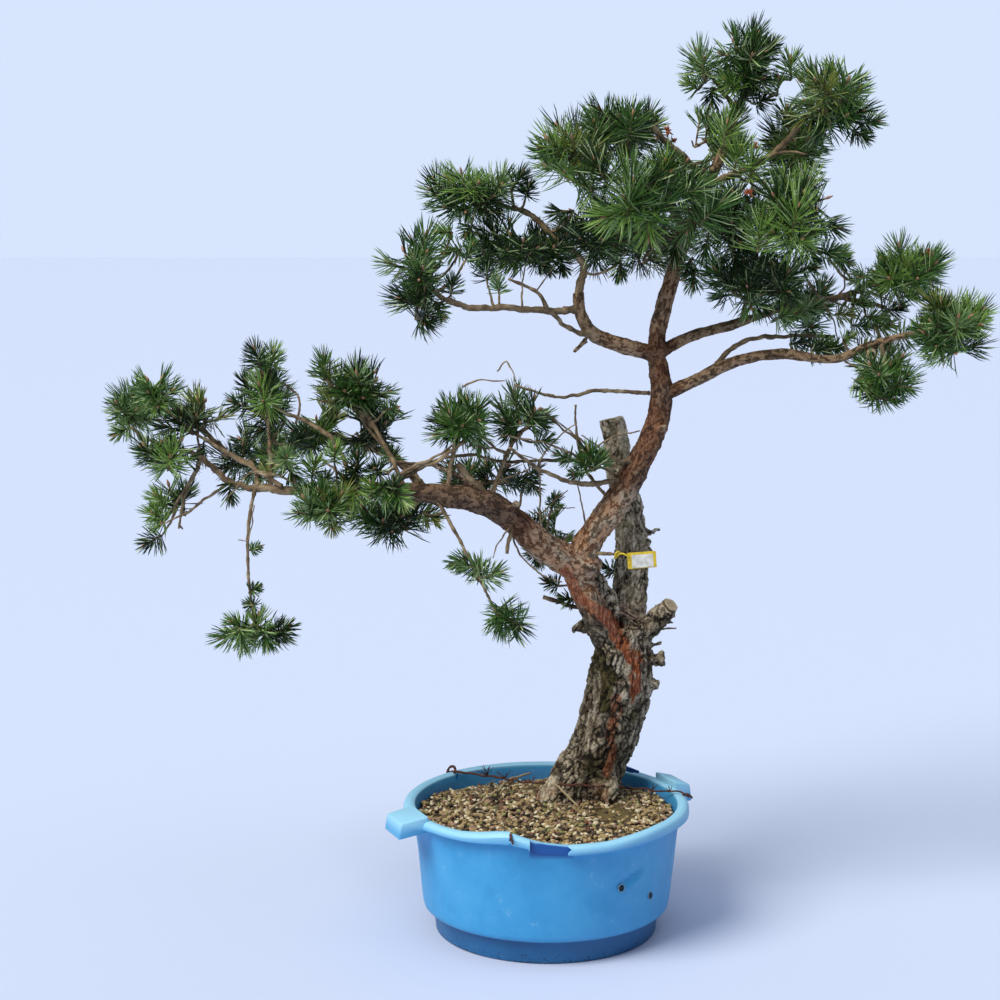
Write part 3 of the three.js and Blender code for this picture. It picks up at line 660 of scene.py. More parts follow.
def onStreak(points, *titles):
    # 1 where the photograph shows one of these lines on the side that faces it, with ragged edges
    ragged = (softNoise(points * [1, 1, 0.4], 7, 47)[:, None] - 0.5) * [9, 0]
    pixels = pixelsOf(points) + ragged
    found = np.zeros(len(points))
    for title in titles:
        spots, reach = strippedStreak[title]
        line = lineThrough([(across, down, 0) for across, down in spots], 40)[:, :2]
        for spot in line:
            gaps = norm(pixels - spot, axis=1)
            found = np.maximum(found, 1 - smoothStep(gaps, reach, reach + strippedStreak["fade"]))
    return found * (points[:, 1] < strippedStreak["front"])


rootFlare = {"reach": 9, "fade": 9}


def flare(share, angles):
    lobes = 1 + 0.35 * np.cos(3 * angles + 0.6) + 0.2 * np.cos(5 * angles)
    return rootFlare["reach"] * lobes * math.exp(-rootFlare["fade"] * share)


def limbTubes(name, sides, step, swell=None, thinnest=0):
    # a limb and its stubs; a stub thinner than this is made with the twigs
    limb = limbs[name]
    tubes = [tubeAlong(limb["line"], limb["radii"], sides, step, swell)]
    for places, radii in limb.get("stubs", []):
        if radii[0] >= thinnest:
            tubes.append(tubeAlong(lineThrough(places, 60), radii, sides, step))
    return tubes


def knot(place, size, stretch):
    # a round swelling, as a tube that is thin at both ends
    shares = np.linspace(0, 1, 9)
    sizes = np.sqrt(np.maximum(1 - (2 * shares - 1) ** 2, 0.02)) * size
    line = np.array(place) + np.outer(2 * shares - 1, [0, 0, size])
    points, faces = tubeAlong(line, sizes, 12, size / 4)
    return (points - place) * stretch + place, faces


def unitedWood(name, tubes, shape):
    points, faces = joinedShapes(tubes)
    piece = meshPiece(name, points, faces)
    remesh = piece.modifiers.new("remesh", "REMESH")
    remesh.mode = "VOXEL"
    remesh.voxel_size = shape["voxel"] * mm
    smooth = piece.modifiers.new("smooth", "SMOOTH")
    smooth.factor = 0.5
    smooth.iterations = shape["rounds"]
    applyModifiers(piece)
    piece.data.polygons.foreach_set("use_smooth", np.full(len(piece.data.polygons), True))
    return piece


def limbFrames(names):
    # every limb's middle line with its heading, a side that turns with it, and the length run so far
    rows = []
    for k, name in enumerate(names):
        line = limbs[name]["line"][::4]
        headings = headingsOf(line)
        sizes = sizesAlong(limbs[name]["radii"], len(line))
        side = crossPair(headings[0])[0]
        run = 700.0 * k
        for i, (place, heading) in enumerate(zip(line, headings)):
            side = unit(side - heading * side.dot(heading))
            if i:
                run += norm(place - line[i - 1])
            rows.append(np.concatenate([place, heading, side, np.cross(heading, side), [run, sizes[i]]]))
    return np.array(rows)


def limbPlaces(points, names):
    # each place by its offset from the nearest limb's middle line and its distance along that line,
    # and the limb's radius there
    frames = limbFrames(names)
    found, sizes = [], []
    for block in np.array_split(points, max(len(points) // 4000, 1)):
        gaps = norm(block[:, None] - frames[None, :, :3], axis=2) - frames[None, :, 13]
        nearest = frames[gaps.argmin(axis=1)]
        offset = block - nearest[:, :3]
        found.append(np.stack([
            (offset * nearest[:, 6:9]).sum(axis=1),
            (offset * nearest[:, 9:12]).sum(axis=1),
            nearest[:, 12] + (offset * nearest[:, 3:6]).sum(axis=1),
        ], axis=1))
        sizes.append(nearest[:, 13])
    return np.concatenate(found), np.concatenate(sizes)


def warped(places, seed, sizes=(26, 8), reaches=(9, 3.2)):
    for size, reach in zip(sizes, reaches):
        stray = np.stack([softNoise(places, size, seed + k) - 0.5 for k in range(3)], axis=1)
        places = places + stray * reach * 2
    return places


def chipsOf(along, shape, seed):
    # the splits between the chips of a plate, which open in patches, and a number for each chip
    gap, tone = cellPattern(warped(along, seed + 50, (9,), (3,)), shape["chip"], seed + 17)
    opened = smoothStep(softNoise(along, shape["splitPatch"], seed + 37), *shape["splitFade"])
    return np.exp(-(gap / shape["splitWidth"]) ** 2) * opened, tone


def liftOldBark(piece, names, shape, seed):
    # plates between cracks that open and close, chips on the plates, and long swellings under both
    points, normals = pointsOf(piece), normalsOf(piece)
    along = limbPlaces(points, names)[0]
    bent = warped(along, seed)
    plateGap, plateTone = cellPattern(bent, shape["plate"], seed + 11)
    opened = smoothStep(softNoise(bent, shape["crackPatch"], seed + 31), *shape["crackFade"])
    crack = np.exp(-(plateGap / shape["crack"]) ** 2) * opened
    split, chipTone = chipsOf(along, shape, seed)
    height = -shape["depth"] * crack - shape["chipDepth"] * split
    height += shape["plateStep"] * (plateTone - 0.5) + shape["chipStep"] * (chipTone - 0.5)
    height += shape["fluteHeight"] * (softNoise(along, shape["flute"], seed + 23) - 0.5)
    flakes = softNoise(bent, shape["flake"], seed + 71) * shape["flakes"]
    part = flakes - np.floor(flakes)
    layer = np.floor(flakes) + smoothStep(part, *shape["edge"])
    height += shape["flakeStep"] * (layer - shape["flakes"] / 2)
    ledgeAt, ledgeWidth = shape["ledge"]
    ledge = np.exp(-((part - ledgeAt) / ledgeWidth) ** 2)
    for cutEnd in shape["sawn"]:
        height *= smoothStep(norm(points - cutEnd, axis=1), *shape["sawnFade"])
    setPoints(piece, points + normals * height[:, None])
    # the painted shadow under each flake's edge darkens with the cracks and splits
    splitShade, ledgeShade = shape["shades"]
    plateShare, chipShare = shape["tones"]
    setAttribute(piece, "crack", np.clip(crack + splitShade * split + ledgeShade * ledge, 0, 1))
    setAttribute(piece, "tone", plateShare * plateTone + chipShare * chipTone)
    return points


def liftLiveBark(piece, names, shape, seed):
    # thin layers that have flaked away in steps: the deeper the layer, the fresher its colour
    points, normals = pointsOf(piece), normalsOf(piece)
    along, sizes = limbPlaces(points, names)
    slim = 1 - smoothStep(sizes, *shape["slim"])  # thin boughs have thinner, browner bark
    bent = warped(along, seed, (30, 9), (10, 3))
    depth = 0
    for share, finer, step in shape["octaves"]:
        depth = depth + share * softNoise(bent, np.array(shape["layer"]) / finer, seed + step)
    depth = depth * shape["layers"] * shape["layerReach"]
    floor, part = np.floor(depth), depth - np.floor(depth)
    layer = floor + smoothStep(part, *shape["edge"])
    ledgeAt, ledgeWidth = shape["ledge"]
    ledge = np.exp(-((part - ledgeAt) / ledgeWidth) ** 2)
    split, chipTone = chipsOf(along, shape, seed)
    height = shape["layerStep"] * (layer - shape["flatLayer"]) - shape["chipDepth"] * split
    height = height + shape["chipStep"] * (chipTone - 0.5)
    height += shape["lumpHeight"] * (softNoise(points, shape["lump"], seed + 23) - 0.5)
    height *= 1 - shape["slimHeight"] * slim
    stripped = onStreak(points, "leader", "upper")
    sloped = points[:, 2] - shape["agedSlope"] * points[:, 0]
    aged = (1 - smoothStep(sloped, *shape["aged"])) * (1 - stripped)
    plateGap, plateTone = cellPattern(bent, oldBarkShape["plate"], seed + 61)
    crack = np.exp(-(plateGap / oldBarkShape["crack"]) ** 2) * aged
    height += aged * oldBarkShape["plateStep"] * (plateTone - 0.5) - crack * oldBarkShape["depth"]
    setPoints(piece, points + normals * height[:, None])
    layerTone = np.clip((layer - 2) / 4, 0, 1)
    raw = smoothStep(softNoise(points, 8, seed + 9), 0.15, 0.45)
    setAttribute(piece, "aged", aged * (0.6 + 0.4 * plateTone))
    # the painted shadow under each scale's edge darkens with the splits
    splitShade, ledgeShade = shape["shades"]
    contrast = shape["slimContrast"]
    lines = (ledgeShade * ledge + splitShade * split) * (1 - contrast * slim)
    setAttribute(piece, "crack", np.clip(lines + crack, 0, 1))
    setAttribute(piece, "slim", slim)
    setAttribute(piece, "layer", layerTone + (shape["slimLayer"] - layerTone) * contrast * slim)
    setAttribute(piece, "streak", shape["streakShade"] * stripped * raw)
    setAttribute(piece, "tone", chipTone)
    return points


def nearLine(points, line, reach, fade):
    # 1 on a line and 0 past its reach
    nearest = np.full(len(points), 1e9)
    for place in line:
        nearest = np.minimum(nearest, norm(points - place, axis=1))
    return 1 - smoothStep(nearest, reach, reach + fade)


# The trunk and the old leader, which was cut off: grey plated bark

oldNames = ["trunk", "old_leader"]
oldKnots = [  # middle, size and stretch
    ([100, 52, 398], 24, (1.1, 0.8, 1.2)), ([90, 62, 412], 20, (0.9, 0.8, 1.6)),
    ([92, 56, 440], 18, (1.1, 0.9, 1.3)), ([92, 60, 462], 25, (0.8, 0.8, 1.5)),
    ([79, 50, 492], 21, (0.8, 0.8, 1.6)), ([122, 56, 420], 19, (1, 0.8, 1.2)),
    ([90, 40, 196], 20, (1, 0.8, 1.1)), ([152, 88, 560], 9, (1, 1, 1)),
    ([140, 70, 366], 16, (1, 0.9, 0.8)), ([136, 66, 338], 13, (1, 0.9, 0.9)),
]
oldTubes = limbTubes("trunk", 24, 5, flare) + limbTubes("old_leader", 20, 5)
oldWood = unitedWood("old_wood", oldTubes + [knot(*row) for row in oldKnots], oldBarkShape)
oldWear = {  # heights between which each kind of wear comes or goes, and the top of the old leader
    "roots": (178, 214),
    "moss": (330, 560),
    "bleached": (450, 640),
    "sawnTop": [[96, 118, 745]],
}
rawPlaces = liftOldBark(oldWood, oldNames, oldBarkShape, 100)
heights = rawPlaces[:, 2]
streak = onStreak(rawPlaces, "leader", "upper", "narrow")
streak = np.maximum(streak, 0.8 * onStreak(rawPlaces, "lower"))
streak = streak * smoothStep(softNoise(rawPlaces, 9, 43), 0.08, 0.34)
roots = 1 - smoothStep(heights, *oldWear["roots"])
ruddy = roots * 0.6 * smoothStep(softNoise(rawPlaces, 14, 44), 0.35, 0.7)
moss = smoothStep(softNoise(rawPlaces, 34, 41), 0.45, 0.85) * (1 - smoothStep(heights, *oldWear["moss"]))
setAttribute(oldWood, "streak", np.maximum(streak, ruddy))
setAttribute(oldWood, "sawn", nearLine(rawPlaces, np.array(oldWear["sawnTop"]), 14, 4))
# the valley beside the streak takes the moss tint, partly moss and partly painted shade
setAttribute(oldWood, "moss", np.maximum(moss, onStreak(rawPlaces, "hollow")) * (1 - roots))
setAttribute(oldWood, "bleached", smoothStep(heights, *oldWear["bleached"]) * 1.25)

oldBark, tree = newMaterial("old_pine_bark")  # grey plates with near-black cracks, dry and rough
place = addNode(tree, "TexCoord").outputs["Object"]
tone, crack, mossy, raw, sawn, bleached = [
    addNode(tree, "Attribute", {"attribute_name": title}).outputs["Fac"]
    for title in ("tone", "crack", "moss", "streak", "sawn", "bleached")]
fine = addNode(tree, "TexNoise", {"Scale": 380, "Detail": 9, "Roughness": 0.7, "Vector": place})
broad = addNode(tree, "TexNoise", {"Scale": 40, "Detail": 4, "Vector": place})
mottle = addNode(tree, "Math", {"operation": "MULTIPLY_ADD", 0: tone, 1: 0.45, 2: fine})
mottle = addNode(tree, "Math", {"operation": "MULTIPLY_ADD", 0: broad, 1: 0.35, 2: mottle})
skin = addNode(tree, "ValToRGB", {
    "Fac": mottle, "stops": [(0.5, "#2e261b"), (0.72, "#625441"), (0.88, "#9b8c74"), (1.0, "#cfc2aa")]})
fibres = addNode(tree, "Mapping", {"Scale": (330, 330, 60), "Vector": place})
strands = addNode(tree, "TexNoise", {"Scale": 1, "Detail": 6, "Roughness": 0.7, "Vector": fibres})
inner = addNode(tree, "ValToRGB", {
    "Fac": strands, "stops": [(0.32, "#4c2417"), (0.5, "#94502f"), (0.7, "#cf9a78")]})
# the cracks, the splits and the painted shadow under the flakes' edges turn near black here
dark = addNode(tree, "Math", {"operation": "MULTIPLY", 0: crack, 1: 0.95})
for mask, blend, colour in ((bleached, "SCREEN", "#7d765e"), (mossy, "MULTIPLY", "#7b7957"),
                            (raw, "MIX", inner), (sawn, "MIX", "#b3a78c"), (dark, "MIX", "#17120e")):
    skin = addNode(tree, "Mix", {"data_type": "RGBA", "blend_type": blend, 0: mask, 6: skin, 7: colour})
grain = addNode(tree, "Bump", {"Strength": 0.9, "Distance": 0.0016, "Height": fine})
shader = addNode(tree, "BsdfPrincipled", {
    "Base Color": skin, "Roughness": 0.92, "Specular IOR Level": 0.2, "Normal": grain})
addNode(tree, "OutputMaterial", {"Surface": shader})
oldWood.data.materials.append(oldBark)
finishPiece(oldWood, "old_bark", *oldNames)
print("old wood: ", len(oldWood.data.polygons), "faces")

# The live leader and the boughs: thin orange bark that comes off in papery scales

thinStub = 4.9  # the stubs of these limbs that are thinner go with the twigs
liveNames = ["live_leader_lower", "live_leader_upper", "top_leader", "upper_left_bough", "right_bough",
             "low_right_bough", "low_left_bough"]
liveKnots = [([158, 52, 712], 13, (0.9, 0.9, 0.9)), ([56, 34, 536], 25, (1, 1, 0.9)),
             ([-89, -42, 643], 16, (1, 1, 1)), ([162, 76, 846], 16, (1, 1, 0.9)),
             ([-209, -70, 662], 11, (1, 1, 1))]
liveTubes = [tube for name in liveNames for tube in limbTubes(name, 16, 4, None, thinStub)]
liveWood = unitedWood("live_wood", liveTubes + [knot(*row) for row in liveKnots], liveBarkShape)
orangeParts = [  # a limb, which of its 240 places are bright, reach, fade and strength
    ("live_leader_lower", slice(90, 240, 8), 24, 20, 0.75),
    ("live_leader_upper", slice(0, 240, 8), 26, 24, 0.65),
    ("low_left_bough", slice(0, 90, 8), 26, 30, 0.65),
    ("upper_left_bough", slice(0, 100, 8), 15, 16, 0.4),
    ("top_leader", slice(0, 90, 8), 15, 16, 0.6),
]
# stretches of live wood under the crown, darkened as painted shade
paintedShadeParts = [("live_leader_upper", slice(60, 240, 8)), ("live_leader_lower", slice(0, 60, 8)),
             ("low_left_bough", slice(110, 240, 8))]
rawPlaces = liftLiveBark(liveWood, liveNames, liveBarkShape, 300)
orange = onStreak(rawPlaces, "leader", "upper") * 1.4
for name, part, reach, fade, strength in orangeParts:
    orange = np.maximum(orange, nearLine(rawPlaces, limbs[name]["line"][part], reach, fade) * strength)
setAttribute(liveWood, "orange", orange)
# painted shade under the crown, and darker low down where the live wood meets the trunk
dusk = nearLine(rawPlaces, np.concatenate([limbs[name]["line"][part] for name, part in paintedShadeParts]), 22, 18)
setAttribute(liveWood, "dusk", np.maximum(dusk, 1 - smoothStep(rawPlaces[:, 2], 425, 500)))

liveBark, tree = newMaterial("live_pine_bark")  # papery orange scales over brown, a little silky
place = addNode(tree, "TexCoord").outputs["Object"]
layer, tone, crack, orange, dusk, slim, aged, raw = [
    addNode(tree, "Attribute", {"attribute_name": title}).outputs["Fac"]
    for title in ("layer", "tone", "crack", "orange", "dusk", "slim", "aged", "streak")]
fine = addNode(tree, "TexNoise", {"Scale": 420, "Detail": 9, "Roughness": 0.68, "Vector": place})
broad = addNode(tree, "TexNoise", {"Scale": 38, "Detail": 4, "Vector": place})
mottle = addNode(tree, "Math", {"operation": "MULTIPLY_ADD", 0: tone, 1: 0.5, 2: fine})
mottle = addNode(tree, "Math", {"operation": "MULTIPLY_ADD", 0: broad, 1: 0.3, 2: mottle})
fresh, skin, older = [
    addNode(tree, "ValToRGB", {"Fac": mottle, "stops": list(zip((0.55, 0.82, 1.0), colours))})
    for colours in (("#4d2b18", "#8d5a37", "#c6946c"), ("#3a2e22", "#7a6652", "#bda88e"),
                    ("#2c261c", "#5d5441", "#8d8470"))]
deeper = addNode(tree, "MapRange", {"From Min": 0.75, "From Max": 0.3, "Value": layer})
# the painted shade multiplies the skin darker brown
baring, shadeDarkening, dark = [
    addNode(tree, "Math", {"operation": "MULTIPLY", 0: mask, 1: strength})
    for mask, strength in ((deeper, orange), (dusk, 0.75), (crack, 0.76))]
fibres = addNode(tree, "Mapping", {"Scale": (260, 260, 70), "Rotation": (0, -0.7, 0), "Vector": place})
strands = addNode(tree, "TexNoise", {"Scale": 1, "Detail": 6, "Roughness": 0.72, "Vector": fibres})
inner = addNode(tree, "ValToRGB", {
    "Fac": strands, "stops": [(0.34, "#47221a"), (0.5, "#9a5534"), (0.66, "#cd9474")]})
# the crack mark also carries the painted shadow under the scales' edges
for mask, blend, colour in ((baring, "MIX", fresh), (slim, "MULTIPLY", "#cbbfae"),
                            (shadeDarkening, "MULTIPLY", "#7d5b46"), (aged, "MIX", older), (raw, "MIX", inner),
                            (dark, "MIX", "#20150d")):
    skin = addNode(tree, "Mix", {"data_type": "RGBA", "blend_type": blend, 0: mask, 6: skin, 7: colour})
grain = addNode(tree, "Bump", {"Strength": 0.7, "Distance": 0.0012, "Height": fine})
shader = addNode(tree, "BsdfPrincipled", {
    "Base Color": skin, "Roughness": 0.82, "Specular IOR Level": 0.3, "Normal": grain})
addNode(tree, "OutputMaterial", {"Surface": shader})
liveWood.data.materials.append(liveBark)
finishPiece(liveWood, "live_bark", *liveNames)
print("live wood: ", len(liveWood.data.polygons), "faces")

# Thin limbs, stems and twigs: scaly grey-brown bark, with the stubs of old needles

twigShape = {
    "sides": 7,
    "step": 4,
    "kink": 1.6,  # how far a twig strays from its line
    "lump": 0.13,  # how much its radius varies
}
deadTwigs = [  # bare grey twigs that hang about the limbs, with their radii at both ends
    ([[107, 50, 664], [62, 10, 691], [3, -20, 720], [-68, -50, 738]], 2.2, 1.2),
    ([[89, 50, 634], [52, 20, 686], [41, 0, 739], [39, -10, 776]], 2, 1),
    ([[128, 48, 672], [80, 30, 706], [50, 20, 729]], 1.8, 1),
    ([[62, 10, 713], [20, -12, 748], [-11, -30, 775]], 1.6, 0.9),
    ([[-11, -20, 698], [14, -8, 728], [42, 0, 749]], 1.5, 0.8),
    ([[52, 8, 700], [65, 20, 710], [100, 30, 726], [136, 50, 732]], 1.6, 1),
    ([[63, 30, 570], [50, 10, 630], [36, 0, 681]], 1.7, 0.9),
    ([[9, 20, 556], [-9, 0, 601], [-11, -10, 653], [-11, -20, 698]], 2, 1.1),
    ([[-9, 0, 606], [10, 4, 622], [41, 20, 623]], 1.2, 0.7),
    ([[-8, 0, 618], [12, 2, 636], [30, 10, 650]], 1.3, 0.8),
    ([[-110, -50, 723], [-60, -34, 712], [-11, -20, 698]], 1.6, 1),
    ([[-96, -40, 650], [-52, -32, 676], [-11, -20, 691]], 1.6, 1),
    ([[-50, -20, 606], [-46, -10, 573], [-15, -20, 536], [22, 0, 517]], 1.8, 1),
    ([[-4, 60, 483], [24, 66, 473], [62, 70, 462]], 3.4, 3.2),
    ([[-72, -20, 628], [-111, -30, 678], [-153, -50, 702]], 3, 1.4),
    ([[-82, -30, 640], [-120, -44, 660], [-160, -60, 655]], 2.4, 1.1),
    ([[-209, -66, 662], [-216, -70, 676], [-160, -60, 708], [-113, -50, 733]], 3, 1.4),
    ([[-50, -28, 606], [-66, -46, 590], [-78, -60, 563]], 1.6, 0.8),
    ([[-414, -66, 640], [-424, -72, 590], [-437, -76, 592]], 1, 0.7),
    ([[-330, -62, 660], [-413, -60, 686], [-456, -60, 646]], 2, 1),
    ([[-452, -34, 668], [-498, -20, 636], [-525, -10, 616], [-560, 6, 600]], 2.6, 1.3),
    ([[-209, -68, 662], [-272, -70, 672], [-320, -40, 701]], 2.8, 1.5),
    ([[-36, -2, 914], [-37, 2, 930], [-32, 10, 978]], 1.7, 0.9),
    ([[-16, 6, 938], [-4, 8, 952], [7, 10, 970]], 1.3, 0.8),
    ([[-120, -50, 806], [-99, -60, 816], [-61, -60, 815]], 1.6, 0.9),
    ([[-72, -56, 828], [-60, -60, 843], [-43, -60, 809]], 1.4, 0.8),
    ([[250, 100, 878], [282, 80, 889], [292, 66, 917]], 1.8, 0.8),
    ([[448, 78, 931], [478, 50, 930], [507, 30, 915]], 1.9, 1),
    ([[415, 90, 920], [446, 74, 904], [467, 60, 878]], 1.6, 0.9),
    ([[400, 94, 916], [414, 74, 900], [428, 80, 855]], 1.5, 0.8),
    ([[424, 86, 924], [435, 80, 945], [424, 80, 986]], 1.6, 0.9),
    ([[290, 34, 1120], [337, 20, 1133], [366, 16, 1129]], 3, 1.6),
    ([[229, 70, 1088], [202, 36, 1119], [160, 14, 1152], [146, 6, 1168]], 5.6, 4),
    ([[166, 62, 433], [194, 60, 436]], 1.5, 1.2),
    ([[420, 4, 842], [446, -8, 822], [462, -14, 796]], 2, 1.2),
    ([[436, 0, 846], [462, -10, 828], [484, -16, 806]], 1.8, 1),
]
seenTwigs = [  # more of them, by their way across the photograph: pixels, first and last depth, and radii
    ([(397, 480), (420, 468), (438, 461), (452, 450), (467, 440)], (-60, -60), (4.2, 2.6)),
    ([(492, 500), (474, 482), (457, 464)], (-40, -50), (6, 4.6)),
    ([(389, 461), (423, 464), (446, 458), (475, 455), (496, 461), (542, 461), (591, 461), (623, 468)],
     (-50, 44), (2.4, 2.6)),
    ([(576, 405), (576, 427), (580, 447), (584, 467), (608, 499)], (10, 40), (1.4, 2.6)),
    ([(542, 408), (559, 426), (582, 444), (600, 466)], (0, 44), (1.4, 2.2)),
    ([(432, 494), (455, 496), (484, 494)], (-60, -44), (2.2, 2.8)),
    ([(160, 404), (185, 425), (207, 440), (253, 468), (282, 486)], (20, -60), (1.8, 3.6)),
    ([(196, 418), (200, 452)], (0, -10), (1.4, 1.6)),
    ([(256, 372), (278, 408), (313, 425), (335, 442), (352, 474), (392, 489)], (-30, -64), (2, 4)),
    ([(284, 383), (299, 397), (296, 424)], (-20, -30), (1.4, 1.8)),
    ([(349, 400), (362, 420), (392, 457), (420, 484)], (0, -60), (1.8, 3.4)),
]


def roughTwig(line, radii, random, sides=None, kink=twigShape["kink"]):
    # strays a little from its line and thickens where side twigs once grew
    count = max(int(lengthOf(line) / twigShape["step"]), 3)
    line = evenly(line, count + 1)
    stray = random.normal(0, 1, (count + 1, 3))
    stray = (stray + np.roll(stray, 1, axis=0) + np.roll(stray, -1, axis=0)) / 3
    fade = np.sin(np.linspace(0, math.pi, count + 1))[:, None] ** 0.5
    reach = min(kink, lengthOf(line) * 0.03)
    lumps = twigShape["lump"] * random.normal(0, 1, count + 1).clip(-1.5, 2)
    sizes = sizesAlong(radii, count + 1) * (1 + lumps)
    return tubeAlong(line + stray * fade * reach, sizes, sides or twigShape["sides"], twigShape["step"])


thinNames = ["upper_left_arm", "upper_left_neck", "right_outer_bough", "crown_right_limb",
             "crown_left_limb", "low_left_outer_bough", "far_left_arm", "low_left_rear_arm"]
random = np.random.default_rng(seeds["thin limbs"])
thinTubes = []
for name in thinNames:
    limb = limbs[name]
    thinTubes.append(roughTwig(limb["line"], limb["radii"], random, 9))
    for places, radii in limb.get("stubs", []):
        thinTubes.append(roughTwig(lineThrough(places, 60), radii, random))
for name in liveNames:
    for places, radii in limbs[name].get("stubs", []):
        if radii[0] < thinStub:
            thinTubes.append(roughTwig(lineThrough(places, 100), radii, random))
for places, first, last in deadTwigs:
    thinTubes.append(roughTwig(lineThrough(places, 80), [first, last], random, 6))
for pixels, depths, radii in seenTwigs:
    thinTubes.append(roughTwig(lineThrough(routeSeen(pixels, depths), 100), radii, random))


# The masses: a stem from the limb, a twig to each tuft, and shoots that fork from the twig's end

shootRule = {
    "stemShare": 0.78,  # of the way from the limb to the middle of the mass, as in the source
    "lastShare": 0.96,
    "firstShare": 0.5,
    "stemRadii": [3.8, 3.1, 2.4],
    "stemRise": 0.06,
    "footShare": 0.78,  # how far a tuft's shoot starts behind its middle, against its reach
    "twigBend": (-0.06, 0.1),
    "twigRadii": [2.5, 2.1, 1.9, 1.4],
    "forks": 2,  # side shoots beside the leading one
    "forkLean": 50,  # degrees from the leading shoot
    "forkReach": 0.8,
    "forkFrom": (0.62, 0.86),  # where on the twig a side shoot's own twig starts
    "forkTwig": (0.22, 0.4),
    "forkRadii": [1.6, 1.3],
    "forkTurn": 0.4,
    "forkStray": (-10, 12),  # degrees
    "forkRise": 0.18,
    "forkReaches": (0.85, 1.15),
    "forkLengths": (0.6, 0.95),
    "newColour": 0.3,  # how often a side shoot isn't of its tuft's colour
    "shootLength": 0.95,  # against the tuft's reach
    "pairs": 40,  # pairs of needles on a leading shoot
    "forkPairs": 26,
    "sprigPairs": 40,  # on a single shoot with a reach of 28 mm
    "sprigLength": 0.85,
    "sprigFoot": 0.7,
    "sprigSag": 0.12,
    "sprigRadii": [2.2, 1.6],
}
needleShape = {
    "length": 1.0,  # against the tuft's reach, about 40 mm
    "lengths": (0.84, 1.1),  # how that varies
    "shorter": 0.12,  # at the shoot's tip
    "foot": 0.63,
    "belly": 0.84,  # radii
    "bellyAt": 0.7,
    "lowSweep": 80,
    "highSweep": 16,
    "sweepStray": (7, 4),  # of a pair and of a needle, in degrees
    "turnStray": 0.35,
    "pairAngle": 0.13,
    "rootAt": 1.2,
    "bow": 9,  # degrees that a needle curves back towards its shoot
}
sprayWeights = {  # how often a colour comes, and what left, right, a bright spray and cover add; cover adds painted shade
    "deep": (0.3, -0.08, -0.28, 0, 0.5),
    "middle": (0.38, -0.04, -0.12, 0, -0.1),
    "fresh": (0.13, 0, 0.25, 0.13, -0.11),
    "olive": (0.06, 0.05, 0, 0, -0.05),
    "greyed": (0.11, 0.09, 0.3, 0, -0.08),
}
sprayColours = list(sprayWeights)
coverReach = {"across": 80, "from": 25, "to": 200, "most": 5}
coverPlaces = np.array([tuft[0] for mass in masses for tuft in tuftsOf(*mass[3:])])


def tuftShade(place):
    # how deep a place lies under other tufts, from 0 to 1, which deepens its colour as painted shade
    offset = coverPlaces - place
    above = (offset[:, 2] > coverReach["from"]) & (offset[:, 2] < coverReach["to"])
    above &= norm(offset[:, :2], axis=1) < coverReach["across"]
    return min(max(above.sum() - 1, 0) / coverReach["most"], 1)


def colourOf(place, random, bright):
    # greyer and yellower to the left, fresher far to the right, and deeper under other tufts as painted shade
    left = np.clip(-place[0] / 500, 0, 1)
    right = np.clip((place[0] - 300) / 200, 0, 1)
    shares = np.array([1, left, right, bright, tuftShade(place)])
    weights = (np.array(list(sprayWeights.values())) * shares).sum(axis=1).clip(0.01, 1)
    return sprayColours[random.choice(len(weights), p=weights / weights.sum())]


shoots = []  # foot, tip, reach, pairs of needles, colour
massTubes = []


def addShoot(foot, heading, reach, length, pairs, colour):
    shoots.append((foot, foot + heading * length, reach, pairs, colour))


def growTuft(start, tuft, random, bright=0.0):
    place, direction, reach = tuft
    foot = place - direction * reach * shootRule["footShare"]
    rise = norm(foot - start) * random.uniform(*shootRule["twigBend"])
    bend = (start + foot) / 2 + np.array([0, 0, rise])
    twig = lineThrough([start, bend, foot, foot + direction * reach * 0.3], 60)
    massTubes.append(roughTwig(twig, shootRule["twigRadii"], random, 6))
    colour = colourOf(place, random, bright)
    addShoot(foot, direction, reach, reach * shootRule["shootLength"], shootRule["pairs"], colour)
    side, other = crossPair(direction)
    first = random.uniform(0, 2 * math.pi)
    for k in range(shootRule["forks"]):
        angle = first + k * 2 * math.pi / shootRule["forks"]
        angle += random.uniform(-shootRule["forkTurn"], shootRule["forkTurn"])
        lean = math.radians(shootRule["forkLean"] + random.uniform(*shootRule["forkStray"]))
        sideways = side * math.cos(angle) + other * math.sin(angle)
        upright = np.array([0, 0, shootRule["forkRise"]])
        heading = unit(direction * math.cos(lean) + sideways * math.sin(lean) + upright)
        root = placeAt(twig, random.uniform(*shootRule["forkFrom"]))
        end = root + heading * (reach * random.uniform(*shootRule["forkTwig"]))
        massTubes.append(roughTwig(np.array([root, end]), shootRule["forkRadii"], random, 5))
        if random.random() < shootRule["newColour"]:
            colour = colourOf(place, random, bright)
        forkReach = reach * shootRule["forkReach"] * random.uniform(*shootRule["forkReaches"])
        length = forkReach * shootRule["shootLength"] * random.uniform(*shootRule["forkLengths"])
        addShoot(end, heading, forkReach, length, shootRule["forkPairs"], colour)


